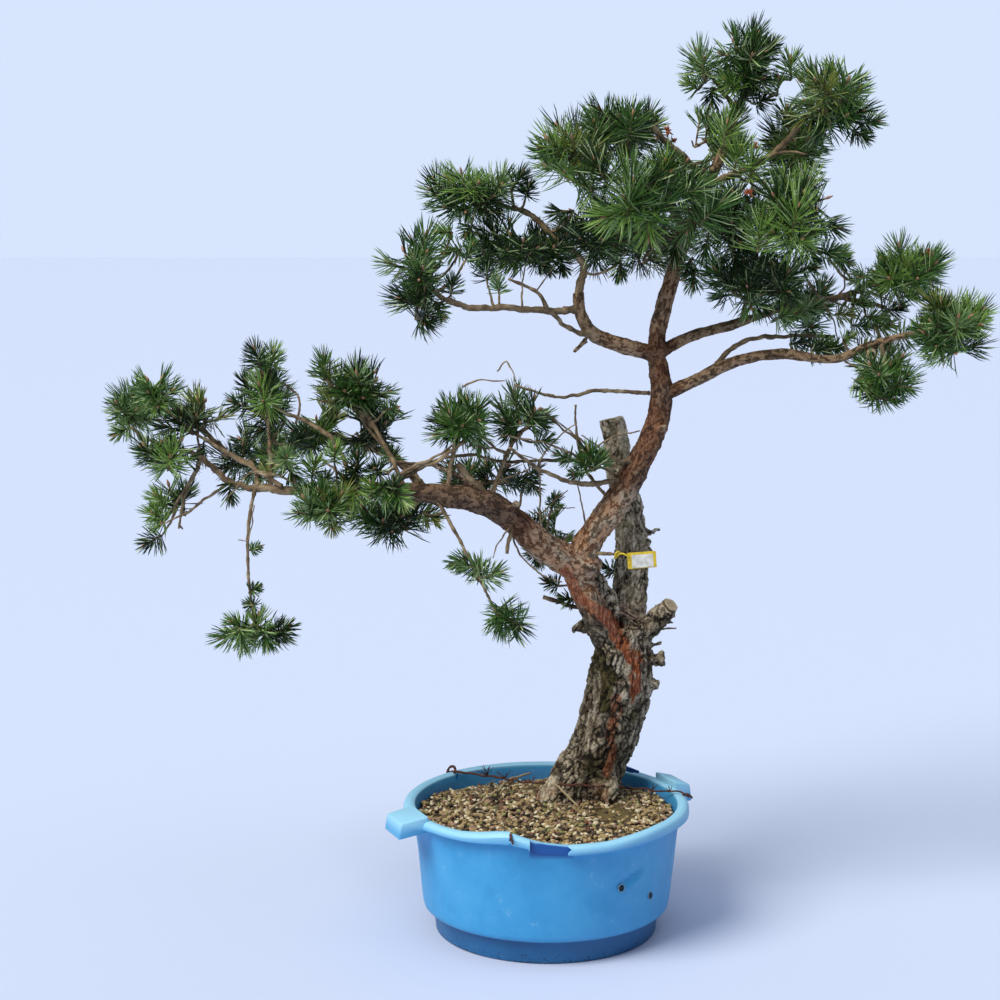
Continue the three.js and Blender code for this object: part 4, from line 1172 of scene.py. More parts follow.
hanging = {  # two long twigs that hang clear: their route in the photograph, its depths and their tufts
    "hanging_left_twig": {
        "route": [(255, 489), (249, 520), (248, 570), (252, 606), (255, 624)],
        "depths": (-52, -58),
        "tufts": [(228, 636, 24, -62, 190), (258, 622, 23, -58, 80), (278, 634, 24, -48, -10),
                  (243, 642, 20, -76, -70), (248, 636, 20, -30, 120), (266, 640, 20, -66, -60),
                  (236, 624, 18, -50, 150), (286, 628, 18, -56, 20)],
        "radii": [2.8, 2.5, 1.9],
    },
    "hanging_middle_twig": {
        "route": [(417, 487), (437, 502), (455, 532), (470, 560), (485, 590), (497, 614)],
        "depths": (-62, -100),
        "tufts": [(512, 624, 30, -100, -30), (506, 618, 26, -110, 150), (467, 566, 20, -88, 160),
                  (494, 574, 21, -104, 20), (480, 570, 17, -70, 70), (458, 562, 17, -84, 190),
                  (500, 622, 24, -90, -110)],
        "radii": [2.7, 2.3, 1.7],
    },
}
sprigs = {  # single shoots: pixel, reach in pixels, depth and, for some, the way they point in the picture
    "left": [
        (268, 472, 16, -30), (286, 458, 20, -90), (300, 440, 19, -20), (314, 466, 19, -70),
        (335, 452, 17, -100), (357, 462, 20, -60), (376, 470, 18, -105), (391, 455, 16, -30),
        (345, 482, 16, -85), (326, 480, 15, -20), (150, 542, 20, 40), (246, 384, 19, -20, 100),
        (120, 432, 17, 0, 200), (230, 494, 17, -40, -90), (292, 474, 17, -60, -70),
        (354, 476, 16, -70, -90), (256, 354, 22, -40, 105), (273, 356, 20, -30, 70),
        (236, 403, 18, -30, 165), (324, 364, 21, -40, 100), (394, 408, 15, -50, 20),
        (433, 518, 18, -60, -30), (385, 495, 19, -108, -70), (372, 487, 17, -110, 110),
        (352, 502, 20, -104, -110), (402, 500, 17, -108, -50), (394, 484, 15, -108, 70),
        (310, 490, 20, -100, 160),
    ],
    "left twig": [(256, 548, 9, -50), (256, 588, 10, -56), (250, 604, 11, -52)],
    "middle": [
        (520, 482, 18, -10), (545, 441, 16, 0), (562, 456, 14, 10), (590, 455, 16, 10),
        (575, 474, 12, 30), (506, 470, 14, 20), (536, 470, 14, 60), (555, 500, 13, 50),
        (550, 583, 14, 70), (566, 599, 14, 60), (538, 560, 13, 90), (480, 443, 18, -10, -80),
        (533, 485, 16, 0, -60), (607, 568, 13, 60, 150),
    ],
    "upper left": [
        (452, 284, 16, -20), (470, 250, 17, 0), (486, 268, 20, 20), (506, 262, 18, 50),
        (527, 254, 16, 30), (548, 268, 14, 60), (528, 188, 15, 40), (468, 232, 15, 40),
        (498, 285, 14, -10), (449, 252, 18, 10, 200), (442, 232, 15, 10, 180), (519, 178, 20, 40, 60),
        (563, 268, 14, 40, -70), (440, 312, 15, -20, -60),
    ],
    "crown": [
        (690, 84, 15, 70, 140), (750, 90, 18, 60, 60), (764, 100, 15, 90, 20), (738, 108, 14, 50, 120),
        (688, 268, 16, 40, -120), (832, 252, 17, 0, 10), (845, 262, 14, 60, -20), (728, 82, 20, 40, 150),
        (800, 92, 20, 40, 110), (822, 110, 22, 20, 20), (787, 111, 24, 30, 90), (791, 64, 23, 60, 100),
        (778, 84, 18, 60, 90), (712, 99, 17, 60, -90), (772, 46, 16, 60, 60), (872, 122, 18, 10, 0),
        (862, 136, 17, 10, -30), (694, 281, 19, 40, -100), (620, 272, 16, 0, -90), (812, 268, 15, 30, 0),
    ],
    "large": [  # the long-needled shoots at the front of the crown
        (632, 188, 42, -80, 75), (598, 166, 33, -60, 120), (664, 202, 36, -66, 60),
        (611, 216, 34, -70, 200), (716, 207, 34, -60, 45), (797, 213, 38, -70, 70),
        (648, 232, 30, -60, -80), (760, 230, 31, -60, 90), (575, 182, 29, -30, 160),
        (690, 226, 28, -40, -110), (632, 120, 29, 0, 90), (596, 128, 29, 10, 100),
        (665, 166, 28, -20, 60), (740, 152, 28, 0, 80), (560, 212, 20, 0, 190), (726, 130, 30, 10, 90),
        (752, 164, 27, -10, 80), (785, 188, 28, -20, 30), (822, 200, 27, -20, 20), (832, 226, 24, 0, -20),
        (700, 188, 28, -60, 30), (770, 256, 26, 0, -60), (735, 262, 24, 20, -80), (705, 250, 24, 0, -110),
        (810, 250, 24, 0, -40), (675, 250, 24, -20, -100), (655, 182, 32, -70, 20),
    ],
    "right": [
        (912, 334, 21, 0, 20), (934, 329, 22, -10, 18), (956, 321, 23, -20, 15), (974, 315, 22, -24, 12),
        (944, 340, 18, 0, 0), (872, 284, 24, 50, 40), (888, 270, 24, 50, 45), (916, 278, 20, 60, 30),
        (928, 262, 22, 50, 60), (910, 296, 18, 60, 10), (864, 326, 19, 60, 0), (886, 326, 19, 40, 10),
        (790, 314, 22, 60, 10), (812, 308, 20, 50, 15), (800, 343, 15, 60, 5), (826, 343, 15, 40, 0),
        (850, 337, 11, 20, 30), (866, 388, 20, -10, -30), (886, 397, 22, -14, -15),
        (876, 377, 18, -6, 30), (893, 369, 17, -6, 35), (840, 254, 17, 50, 30), (846, 314, 16, 30, 0),
        (862, 302, 16, 60, 20), (822, 350, 17, 30, -10), (838, 348, 14, 30, 0), (945, 312, 20, -40, 50),
        (962, 330, 20, -40, -20), (895, 309, 19, 60, 10), (878, 318, 17, 50, 0), (868, 346, 14, 20, 20),
        (884, 346, 13, 10, 0),
    ],
}
seenSize = 1.42  # mm for a pixel of reach
brightness = {"large": 1.2, "right": 1.4}  # of these sprigs; the others have 0.3
woodPlaces = [limb["line"][30::6] for name, limb in limbs.items() if name not in ("trunk", "old_leader")]


def growSprig(spot, random, bright):
    # one shoot on a twig of its own from the nearest wood
    across, down, size, depth, *pointing = spot
    place, reach = placeSeen(across, down, depth), size * seenSize
    near = np.concatenate(woodPlaces)
    start = near[norm(near - place, axis=1).argmin()]
    direction = unit(unit(place - start) + [random.uniform(-0.3, 0.3), random.uniform(-0.5, 0.2), 0.4])
    if pointing:
        turn = math.radians(pointing[0] + random.uniform(-10, 10))
        direction = unit(np.array([math.cos(turn), random.uniform(-0.5, 0.1), math.sin(turn)]))
    foot = place - direction * reach * shootRule["sprigFoot"]
    bend = (start + foot) / 2 - np.array([0, 0, norm(foot - start) * shootRule["sprigSag"]])
    massTubes.append(roughTwig(lineThrough([start, bend, foot], 40), shootRule["sprigRadii"], random, 6))
    pairs = int(shootRule["sprigPairs"] * (0.6 + 0.4 * reach / 28))
    colour = colourOf(place, random, bright)
    addShoot(foot, direction, reach, reach * shootRule["sprigLength"], pairs, colour)


for name, limb, at, middle, half, tuft, count, turn in masses:
    random = np.random.default_rng(len(name) * 100 + round(turn * 10))
    if name in hanging:
        twig = hanging[name]
        stem = lineThrough(routeSeen(twig["route"], twig["depths"]), 80)
        massTubes.append(roughTwig(stem, twig["radii"], random, None, 0.5))
        woodPlaces.append(stem)
        for spot in twig["tufts"]:
            growSprig(spot, random, 0.5)
        continue
    foot = placeAt(limbs[limb]["line"], at)
    away = (np.array(middle) - foot) * shootRule["stemShare"]
    rise = np.array([0, 0, np.sign(away[2]) * norm(away) * shootRule["stemRise"]])
    bend = foot + away * 0.5 + rise
    share = np.linspace(0, 1, 40)[:, None]
    stem = evenly((1 - share) ** 2 * foot + 2 * share * (1 - share) * bend + share**2 * (foot + away), 40)
    massTubes.append(roughTwig(stem, shootRule["stemRadii"], random))
    woodPlaces.append(stem)
    for k, grown in enumerate(tuftsOf(middle, half, tuft, count, turn)):
        spread = (k * 0.618) % 1
        first, last = shootRule["firstShare"], shootRule["lastShare"]
        start = placeAt(stem, last + (first - last) * spread)
        growTuft(start, grown, random, 1.0 if "burst" in name else 0.0)
random = np.random.default_rng(seeds["sprigs"])
for title, group in sprigs.items():
    for spot in group:
        growSprig(spot, random, brightness.get(title, 0.3))
print("shoots: ", len(shoots))


def needlesOf(shoot, random):
    # pairs of needles round a shoot: spread wide at its foot and swept forward at its tip
    foot, tip, reach, pairs = shoot[:4]
    axis = unit(tip - foot)
    side, other = crossPair(axis)
    shares = (np.arange(pairs) + random.uniform(0, 1, pairs)) / pairs
    stray, pairAngle = needleShape["turnStray"], needleShape["pairAngle"]
    turns = np.arange(pairs) * goldenAngle + random.uniform(-stray, stray, pairs)
    low, high = needleShape["lowSweep"], needleShape["highSweep"]
    pairStray, needleStray = needleShape["sweepStray"]
    sweep = low + (high - low) * shares**1.3 + random.normal(0, pairStray, pairs)
    starts = foot + shares[:, None] * (tip - foot)
    lengths = reach * needleShape["length"] * random.uniform(*needleShape["lengths"], pairs)
    lengths = lengths * (1 - needleShape["shorter"] * shares)
    starts, shares, lengths = (np.repeat(values, 2, axis=0) for values in (starts, shares, lengths))
    turns = np.repeat(turns, 2) + np.tile([-pairAngle, pairAngle], pairs)
    turns = turns + random.normal(0, 0.03, 2 * pairs)
    sweep = np.radians(np.repeat(sweep, 2) + random.normal(0, needleStray, 2 * pairs))
    bow = math.radians(needleShape["bow"]) * random.uniform(0.3, 1.3, 2 * pairs)
    outward = np.cos(turns)[:, None] * side + np.sin(turns)[:, None] * other
    first = np.cos(sweep + bow / 2)[:, None] * axis + np.sin(sweep + bow / 2)[:, None] * outward
    last = np.cos(sweep - bow / 2)[:, None] * axis + np.sin(sweep - bow / 2)[:, None] * outward
    starts = starts + outward * needleShape["rootAt"]
    middles = starts + first * lengths[:, None] * needleShape["bellyAt"]
    tips = middles + last * lengths[:, None] * (1 - needleShape["bellyAt"])
    across = np.cross(axis, outward)
    across /= norm(across, axis=1)[:, None]
    upper = np.cross(first, across)
    roll = random.uniform(0, 2 * math.pi, 2 * pairs)
    rows = []
    for centre, size in ((starts, needleShape["foot"]), (middles, needleShape["belly"])):
        for corner in range(3):
            angle = roll + corner * 2 * math.pi / 3
            outline = np.cos(angle)[:, None] * across + np.sin(angle)[:, None] * upper
            rows.append(centre + size * outline)
    rows.append(tips)
    return np.stack(rows, axis=1)  # needles by 7 points


needleQuads = np.array([[0, 1, 4, 3], [1, 2, 5, 4], [2, 0, 3, 5]])
needleTips = np.array([[3, 4, 6], [4, 5, 6], [5, 3, 6]])


def needlePiece(name, needles, material):
    faces = [repeatedFaces(block, 7, len(needles)) for block in (needleQuads, needleTips)]
    return meshPiece(name, needles.reshape(-1, 3), faces, material, smooth=False)


room = np.array(cadBounds) / mm + np.array([[-16, -8, 0], [16, 8, 20]])  # as far as needles may reach
openSky = [  # where the photograph shows sky between and beside the sprays: pixels and a radius
    (690, 133, 17), (697, 150, 11), (837, 193, 12), (846, 178, 9), (853, 60, 8), (866, 256, 8),
    (835, 208, 8), (962, 362, 10), (563, 197, 13), (550, 176, 8), (460, 160, 8), (394, 246, 11),
    (167, 477, 8), (408, 322, 12), (497, 293, 7), (520, 227, 6), (600, 100, 6), (723, 36, 7),
    (650, 262, 8), (727, 300, 6), (790, 87, 9), (153, 371, 9), (213, 398, 9), (193, 438, 10),
    (230, 428, 7), (185, 527, 18), (190, 502, 7), (313, 410, 9), (350, 427, 9), (393, 369, 13),
    (407, 402, 8), (402, 428, 10), (410, 538, 8), (497, 473, 8), (543, 400, 9), (523, 433, 9),
    (512, 460, 7), (567, 520, 11), (593, 527, 8),
]


def hidesSky(*views):
    # whether one of a thing's places would fill one of the open places
    hides = np.zeros(len(views[0]), bool)
    for seen in views:
        for across, down, radius in openSky:
            hides |= norm(pixelsOf(seen) - [across, down], axis=1) < radius
    return hides


hides = hidesSky(np.array([shoot[1] for shoot in shoots]))
shoots = [shoot for shoot, hidden in zip(shoots, hides) if not hidden]
# the pale needles dealt through every shoot are partly the needles' own pale wax and partly a painted
# highlight
strayShares = {"deep": (0, 0.14), "middle": (0.14, 0.24), "pale": (0.24, 0.35)}  # of every shoot's needles
needlesBy = {colour: [] for colour in sprayColours + ["pale"]}
random = np.random.default_rng(seeds["needles"])
for shoot in shoots:
    needles = needlesOf(shoot, random)
    inside = np.all((needles[:, 6] > room[0]) & (needles[:, 6] < room[1]), axis=1)
    needles = needles[inside & ~hidesSky(needles[:, 6], needles[:, 3:6].mean(axis=1))]
    stray = random.uniform(0, 1, len(needles))
    needlesBy[shoot[4]].append(needles[stray >= strayShares["pale"][1]])
    for colour, (low, high) in strayShares.items():
        needlesBy[colour].append(needles[(stray >= low) & (stray < high)])

# Needles: waxy skin over green, so smooth but not shiny; one plain colour for each kind of spray
needleColours = {
    "deep": "#1b3410",
    "middle": "#446a2b",
    "fresh": "#7da049",
    "olive": "#78813a",
    "greyed": "#6f8d54",
    "pale": "#abc188",
}
for colour, hexColour in needleColours.items():
    needleSkin = plainMaterial(colour + "_pine_needle", {
        "Base Color": hexColour, "Roughness": 0.42, "Specular IOR Level": 0.38})
    needles = np.concatenate(needlesBy[colour])
    piece = needlePiece("needles_" + colour, needles, needleSkin)
    finishPiece(piece, "needles", *[mass[0] for mass in masses])
    print("needles: ", colour, len(needles))

# Buds: brown resinous spindles at the ends of the shoots
budShape = {"sizes": [1.2, 2.5, 2.6, 1.5, 0.3], "length": 11, "sides": 5}
random = np.random.default_rng(seeds["buds"])
budTubes = []
for foot, tip, reach, pairs, colour in shoots:
    axis = unit(tip - foot)
    length = budShape["length"] * random.uniform(0.7, 1.15)
    line = np.array([tip - axis, tip + axis * length])
    size = random.uniform(0.75, 1.05)
    budTubes.append(tubeAlong(line, np.array(budShape["sizes"]) * size, budShape["sides"], length / 4))
    massTubes.append(tubeAlong(np.array([foot, tip]), [1.5, 1.3], 5, reach * 0.35))
budScale = plainMaterial("pine_bud", {
    "Base Color": "#b08468", "Roughness": 0.5, "Specular IOR Level": 0.4})
finishPiece(meshPiece("buds", *joinedShapes(budTubes), budScale), "twig_bark")

# Spent flowers: small rusty whorls of scales that stay on the twigs
spentFlowers = [  # pixel, depth and size
    (667, 131, 38, 9), (659, 138, 40, 6), (674, 141, 50, 5), (755, 146, -12, 7), (749, 193, -75, 8),
    (929, 252, 40, 6), (870, 384, -16, 5), (672, 172, -60, 5),
]
random = np.random.default_rng(seeds["spent flowers"])
scaleTubes = []
for across, down, depth, size in spentFlowers:
    middle = placeSeen(across, down, depth)
    for k in range(14):
        heading = unit(random.normal(0, 1, 3) + [0, -0.2, 0.5])
        line = np.array([middle, middle + heading * size * random.uniform(0.7, 1.3)])
        scaleTubes.append(tubeAlong(line, [0.9, 1.5, 0.3], 4, size / 2))
# dry papery scales, rusty orange
spent = plainMaterial("spent_pine_flower", {"Base Color": "#9a4f27", "Roughness": 0.7})
finishPiece(meshPiece("spent_flowers", *joinedShapes(scaleTubes), spent), "twig_bark")

# Sawn ends: the cut stub on the trunk and the knot under the low right bough
sawnEnds = {
    "sawn_stub": {"place": (181, 43, 472), "aim": (0.52, -0.42, 0.74), "radius": 12, "length": 9,
                  "rim": 2.4, "dip": 0.3, "heart": 0.3},
    "sawn_knot": {"place": (459, -16, 850), "aim": (-0.14, -0.98, -0.1), "radius": 8.2, "length": 15,
                  "rim": 2.6, "dip": 3, "heart": 1},
}
sawnPine, tree = newMaterial("sawn_pine")  # bare end grain, pale where it was cut and darker at the heart
place = addNode(tree, "TexCoord").outputs["Object"]
grains = addNode(tree, "TexNoise", {"Scale": 420, "Detail": 5, "Roughness": 0.7, "Vector": place})
skin = addNode(tree, "ValToRGB", {
    "Fac": grains, "stops": [(0.35, "#8f7a5c"), (0.5, "#bfae8d"), (0.65, "#dccfb0")]})
for title, colour in (("heart", "#4a3a2b"), ("rind", "#5b4c3a")):
    mask = addNode(tree, "Attribute", {"attribute_name": title}).outputs["Fac"]
    skin = addNode(tree, "Mix", {"data_type": "RGBA", 0: mask, 6: skin, 7: colour})
shader = addNode(tree, "BsdfPrincipled", {"Base Color": skin, "Roughness": 0.8})
addNode(tree, "OutputMaterial", {"Surface": shader})
for name, cut in sawnEnds.items():
    aim = Vector(cut["aim"]).normalized()
    deselectAll()
    bpy.ops.mesh.primitive_cylinder_add(
        vertices=20, radius=cut["radius"] * mm, depth=cut["length"] * mm,
        location=[c * mm for c in cut["place"]], rotation=aim.to_track_quat("Z", "Y").to_euler())
    sawnPiece = newestPiece(name)
    editOn(sawnPiece)
    bpy.ops.mesh.select_mode(type="FACE")
    bpy.ops.mesh.select_all(action="DESELECT")
    editOff()
    max(sawnPiece.data.polygons, key=lambda face: face.normal.dot(aim)).select = True
    editOn(sawnPiece)
    for thickness, depth in ((1.2, 0.8), (cut["rim"], 0), (1.4, -cut["dip"])):
        bpy.ops.mesh.inset(thickness=thickness * mm, depth=depth * mm)
    editOff()
    points = pointsOf(sawnPiece)
    forward = (points - cut["place"]) @ np.array(aim)
    outwards = norm(points - cut["place"] - forward[:, None] * np.array(aim), axis=1)
    setAttribute(sawnPiece, "heart", cut["heart"] * (outwards < cut["radius"] - cut["rim"] - 2))
    setAttribute(sawnPiece, "rind", outwards > cut["radius"] - 0.4)
    setPoints(sawnPiece, points + (softNoise(points, 5, 91)[:, None] - 0.5) * 1.6)
    bpy.ops.object.shade_smooth_by_angle(angle=math.radians(40))
    sawnPiece.data.materials.append(sawnPine)
    finishPiece(sawnPiece, "twig_bark")

# Torn fibres that hang in the fork between the two leaders
tornShape = {"strands": 34, "from": (600, 594), "to": (640, 622), "depths": (52, 66), "radius": 1.0}
random = np.random.default_rng(seeds["torn fibres"])
strands = []
for k in range(tornShape["strands"]):
    share = random.uniform(0, 1)
    across, down = np.array(tornShape["from"]) + share * np.subtract(tornShape["to"], tornShape["from"])
    across, down = across + random.uniform(-5, 5), down + random.uniform(-7, 5)
    depth = random.uniform(*tornShape["depths"])
    run = random.uniform(9, 20)
    route = [(across - run / 2, down - run * 0.22), (across, down + random.uniform(0, 2)),
             (across + run / 2, down + run * 0.3)]
    strand = lineThrough([placeSeen(*pixel, depth + random.uniform(-3, 3)) for pixel in route], 20)
    strands.append(tubeAlong(strand, [tornShape["radius"] * 0.5, tornShape["radius"], 0.3], 4, 5))
# stringy inner bark, weathered pinkish grey
fibre = mottledMaterial("torn_bast_fibre", 160, 3, [(0.35, "#3a2c22"), (0.5, "#8c7461"), (0.68, "#c9ad97")],
                        {"Roughness": 0.8})
finishPiece(meshPiece("torn_fibres", *joinedShapes(strands), fibre), "twig_bark")

twigBark, tree = newMaterial("pine_twig_bark")  # dull grey-brown, rough with leaf scars
place = addNode(tree, "TexCoord").outputs["Object"]
blotches = addNode(tree, "TexNoise", {"Scale": 70, "Detail": 4, "Vector": place})
scars = addNode(tree, "TexNoise", {"Scale": 600, "Detail": 5, "Roughness": 0.7, "Vector": place})
tones = addNode(tree, "Math", {"operation": "MULTIPLY_ADD", 0: scars, 1: 0.55, 2: blotches})
skin = addNode(tree, "ValToRGB", {
    "Fac": tones, "stops": [(0.45, "#3f3428"), (0.68, "#6a5943"), (0.85, "#8d7a5e"), (1.0, "#b3a283")]})
grain = addNode(tree, "Bump", {"Strength": 0.6, "Distance": 0.0008, "Height": scars})
shader = addNode(tree, "BsdfPrincipled", {
    "Roughness": 0.85, "Specular IOR Level": 0.3, "Base Color": skin, "Normal": grain})
addNode(tree, "OutputMaterial", {"Surface": shader})
twigs = meshPiece("twigs", *joinedShapes(thinTubes + massTubes), twigBark)
finishPiece(twigs, "twig_bark", *thinNames)
print("twigs: ", len(twigs.data.polygons), "faces")


# The tub: a thick-walled round container with a rolled rim, two lugs, and a rim that cracked and broke

tubShape = {
    "turns": 216,
    "profile": [  # radius and height, up the outside, over the rolled rim and down the inside
        (160, 0), (163, 2), (164.5, 16), (166, 32), (167, 35.4), (172.5, 35.6), (177.5, 36.8),
        (180.6, 40), (182, 46), (183.2, 56), (184.3, 66), (185.4, 78), (186.5, 90), (187, 96),
        (187.6, 102), (188.1, 108), (188.7, 114), (189.2, 120), (189.8, 126), (190.4, 132), (191.0, 138),
        (192.4, 150), (194.0, 162), (195.0, 170), (197, 173.4), (203, 174.8), (207.2, 175.2),
        (209, 176.6), (209.8, 180), (209.6, 185), (208, 188.8), (205, 191.2), (200.5, 192), (196, 191.4),
        (193, 189.4), (191.4, 185), (190.4, 178), (188, 160), (184, 124), (179.5, 84), (174.5, 44),
        (171, 39), (162, 37), (159, 30), (158, 6),
    ],
    "waves": 1.1,  # how far the thin wall bulges in and out
    "unevenness": 2.4,
    "wallFoot": 46,  # the height where the wall starts to rise, and how far it spreads in how much height
    "wallFlare": (12.5, 120),
}
lugShape = {"width": 64, "foot": 169, "inner": 199, "narrowing": 0.1, "slope": 4, "drop": 6, "lift": 1,
            "bevel": 2.6}
lugs = {24: (31, 32), 204: (45, 29)}  # the angle round the tub, the length outwards and the height
breaks = {  # cutters of the rim: middle, size, turn about Z and lean, in degrees
    "missing stretch": ((-0.5, -212, 180), (53, 27, 24), 0, 0),
    "missing corner": ((26, -211, 186), (9, 24, 9), 6, 38),
    "fragment's foot": ((-38, -209, 166), (40, 24, 14), 0, 14),
    "torn crack": ((-51, -203, 191), (4.5, 40, 22), 8, 14),
    "torn notch": ((-51, -200, 199), (15, 44, 15), 4, 45),
    "wire notch": ((-140, 146, 190), (7, 30, 16), 44, 10),
    "back chip": ((136, 158, 190), (26, 26, 14), -44, 3),
}
tear = {  # the rim stands up at the crack and sags beyond it, and the strip to its left is thinner
    "across": -52,
    "sides": [-95, -70, -45, -20, -1, 1, 26, 42, 77, 134, 154, 202],
    "lifts": [0, 0.9, 4.5, 9.5, 11, 8.5, 1.4, -2.3, -6.2, -6.2, -4, 0],
    "thinness": 0.6,
    "thinFrom": (-142, -110),  # places along the rim, as the sides are, between which it thins and stops
    "thinTo": (22, 28),
    "rollTop": 188.8,
    "rollFrom": 196,
    "front": -100,  # only nearer than this
}
drainHoles = [(-57, 110), (-38, 84)]  # the angle round the tub and the height
holeShape = {"radius": 5.4, "hole": 182, "ring": 182.2, "shadeBall": 176.5}  # and how far out each thing stands
dent = {"turn": -52, "height": 122, "slope": 26, "depth": 4.2, "width": 6.5, "length": 26,
        "radius": 188, "outside": 174, "below": 168}


def withBoolean(piece, cutter, operation):
    boolean = piece.modifiers.new("cut", "BOOLEAN")
    boolean.operation = operation
    boolean.solver = "EXACT"
    boolean.object = cutter
    applyModifiers(piece)
    bpy.data.objects.remove(cutter, do_unlink=True)


def roundedBlock(name, middle, size, turn=0, lean=0, bevel=0, segments=2):
    # a cube at its size, turned, with its edges bevelled
    deselectAll()
    bpy.ops.mesh.primitive_cube_add(size=1, location=[c * mm for c in middle])
    bpy.context.object.scale = [s * mm for s in size]
    bpy.context.object.rotation_euler = (0, math.radians(lean), math.radians(turn))
    block = newestPiece(name)
    if bevel:
        bevelled(block, bevel, segments)
    return block


def startDisc(name, sides, radius, height):
    # a filled circle, selected and open in edit mode
    deselectAll()
    bpy.ops.mesh.primitive_circle_add(vertices=sides, radius=radius * mm, fill_type="NGON",
                                      location=(0, 0, height * mm))
    piece = newestPiece(name)
    editOn(piece)
    bpy.ops.mesh.select_all(action="SELECT")
    return piece


def raiseRing(height, nextHeight, share):
    # extrudes what is selected to the next height and widens it there
    bpy.ops.mesh.extrude_region_move(TRANSFORM_OT_translate={"value": (0, 0, (nextHeight - height) * mm)})
    bpy.ops.transform.resize(value=(share, share, 1), center_override=(0, 0, nextHeight * mm))


def sortByPlace(piece):
    # operators list points and faces in another order each run, and this puts them in one order
    mesh = piece.data
    points = [tuple(vertex.co) for vertex in mesh.vertices]
    order = sorted(range(len(points)), key=points.__getitem__)
    rank = {old: new for new, old in enumerate(order)}
    faces = []
    for face in mesh.polygons:
        ring = [rank[corner] for corner in face.vertices]
        first = ring.index(min(ring))
        faces.append(ring[first:] + ring[:first])
    mesh.clear_geometry()
    mesh.from_pydata([points[k] for k in order], [], sorted(faces))


def closeShape():
    bpy.ops.mesh.select_all(action="SELECT")
    bpy.ops.mesh.normals_make_consistent(inside=False)
    editOff()
    sortByPlace(bpy.context.object)


def wallSpot(turn, height, foot):
    # the angle and the place at a height on the rising wall, where foot is the radius at its foot
    angle = math.radians(turn)
    spread, rise = tubShape["wallFlare"]
    radius = foot + (height - tubShape["wallFoot"]) / rise * spread
    return angle, (radius * math.cos(angle) * mm, radius * math.sin(angle) * mm, height * mm)


tub = startDisc("blue_tub", tubShape["turns"], *tubShape["profile"][0])
for (radius, height), (nextRadius, nextHeight) in zip(tubShape["profile"], tubShape["profile"][1:]):
    raiseRing(height, nextHeight, nextRadius / radius)
closeShape()

for turn, (reach, height) in lugs.items():
    angle = math.radians(turn)
    middle = lugShape["inner"] + reach / 2
    spot = (middle * math.cos(angle), middle * math.sin(angle), lugShape["foot"] + height / 2)
    lug = roundedBlock("lug", spot, (reach, lugShape["width"], height), turn)
    outward = Vector((math.cos(angle), math.sin(angle), 0))
    sideways = Vector((-outward.y, outward.x, 0))
    for corner in lug.data.vertices:
        outer = corner.co.dot(outward) / mm > middle
        high = corner.co.z / mm > spot[2]
        if outer:
            corner.co -= sideways * corner.co.dot(sideways) * lugShape["narrowing"]
        if outer and high:
            corner.co -= outward * (lugShape["slope"] * mm)
            corner.co.z -= lugShape["drop"] * mm
        elif high:
            corner.co.z += lugShape["lift"] * mm
    bevelled(lug, lugShape["bevel"], 3)
    withBoolean(tub, lug, "UNION")
for name, cutter in breaks.items():
    withBoolean(tub, roundedBlock(name, *cutter), "DIFFERENCE")
for turn, height in drainHoles:
    angle, spot = wallSpot(turn, height, holeShape["hole"])
    deselectAll()
    bpy.ops.mesh.primitive_cylinder_add(vertices=20, radius=holeShape["radius"] * mm, depth=16 * mm,
                                        location=spot, rotation=(0, math.radians(90), angle))
    withBoolean(tub, bpy.context.object, "DIFFERENCE")
sortByPlace(tub)
print("tub: ", len(tub.data.polygons), "faces")

# The moulding isn't true any more: soft waves all round and one crease beside the holes
points = pointsOf(tub)
angles = np.arctan2(points[:, 1], points[:, 0])
outward = np.stack([np.cos(angles), np.sin(angles), np.zeros(len(points))], axis=1)
wave = tubShape["waves"] * (np.sin(2 * angles + 0.7) * 0.5 + 0.5 * np.sin(5 * angles + points[:, 2] / 60))
wave += tubShape["unevenness"] * (softNoise(points, 60, 61) - 0.5)
rising = smoothStep(points[:, 2], 44, 120) * (1 - smoothStep(points[:, 2], 176, 190) * 0.6)
around = (angles - math.radians(dent["turn"])) * dent["radius"]
upward = points[:, 2] - dent["height"]
slope = math.radians(dent["slope"])
along = around * math.cos(slope) + upward * math.sin(slope)
across = upward * math.cos(slope) - around * math.sin(slope)
fold = np.exp(-(across / dent["width"]) ** 2)
fold -= 0.8 * np.exp(-((across + dent["width"] * 1.6) / dent["width"]) ** 2)
crease = fold * np.exp(-(along / dent["length"]) ** 2) * dent["depth"]
outside = (norm(points[:, :2], axis=1) > dent["outside"]) & (points[:, 2] < dent["below"])
bent = points + outward * (wave * rising - crease * outside)[:, None]
side = points[:, 0] - tear["across"]
front = points[:, 1] < tear["front"]
lifted = np.interp(side, tear["sides"], tear["lifts"])
thinner = smoothStep(side, *tear["thinFrom"]) * (1 - smoothStep(side, *tear["thinTo"]) * (side > 0)) * front
radii = norm(points[:, :2], axis=1)
rolledPart = (radii > tear["rollFrom"]) & (points[:, 2] < tear["rollTop"])
bent[:, 2] += thinner * rolledPart * (tear["rollTop"] - points[:, 2]) * (1 - tear["thinness"])
setAttribute(tub, "level", points[:, 2] * mm)
bent[:, 2] += lifted * smoothStep(points[:, 2], 166, 186) * front
setPoints(tub, bent)
selectOnly(tub)
bpy.ops.object.shade_smooth_by_angle(angle=math.radians(32))

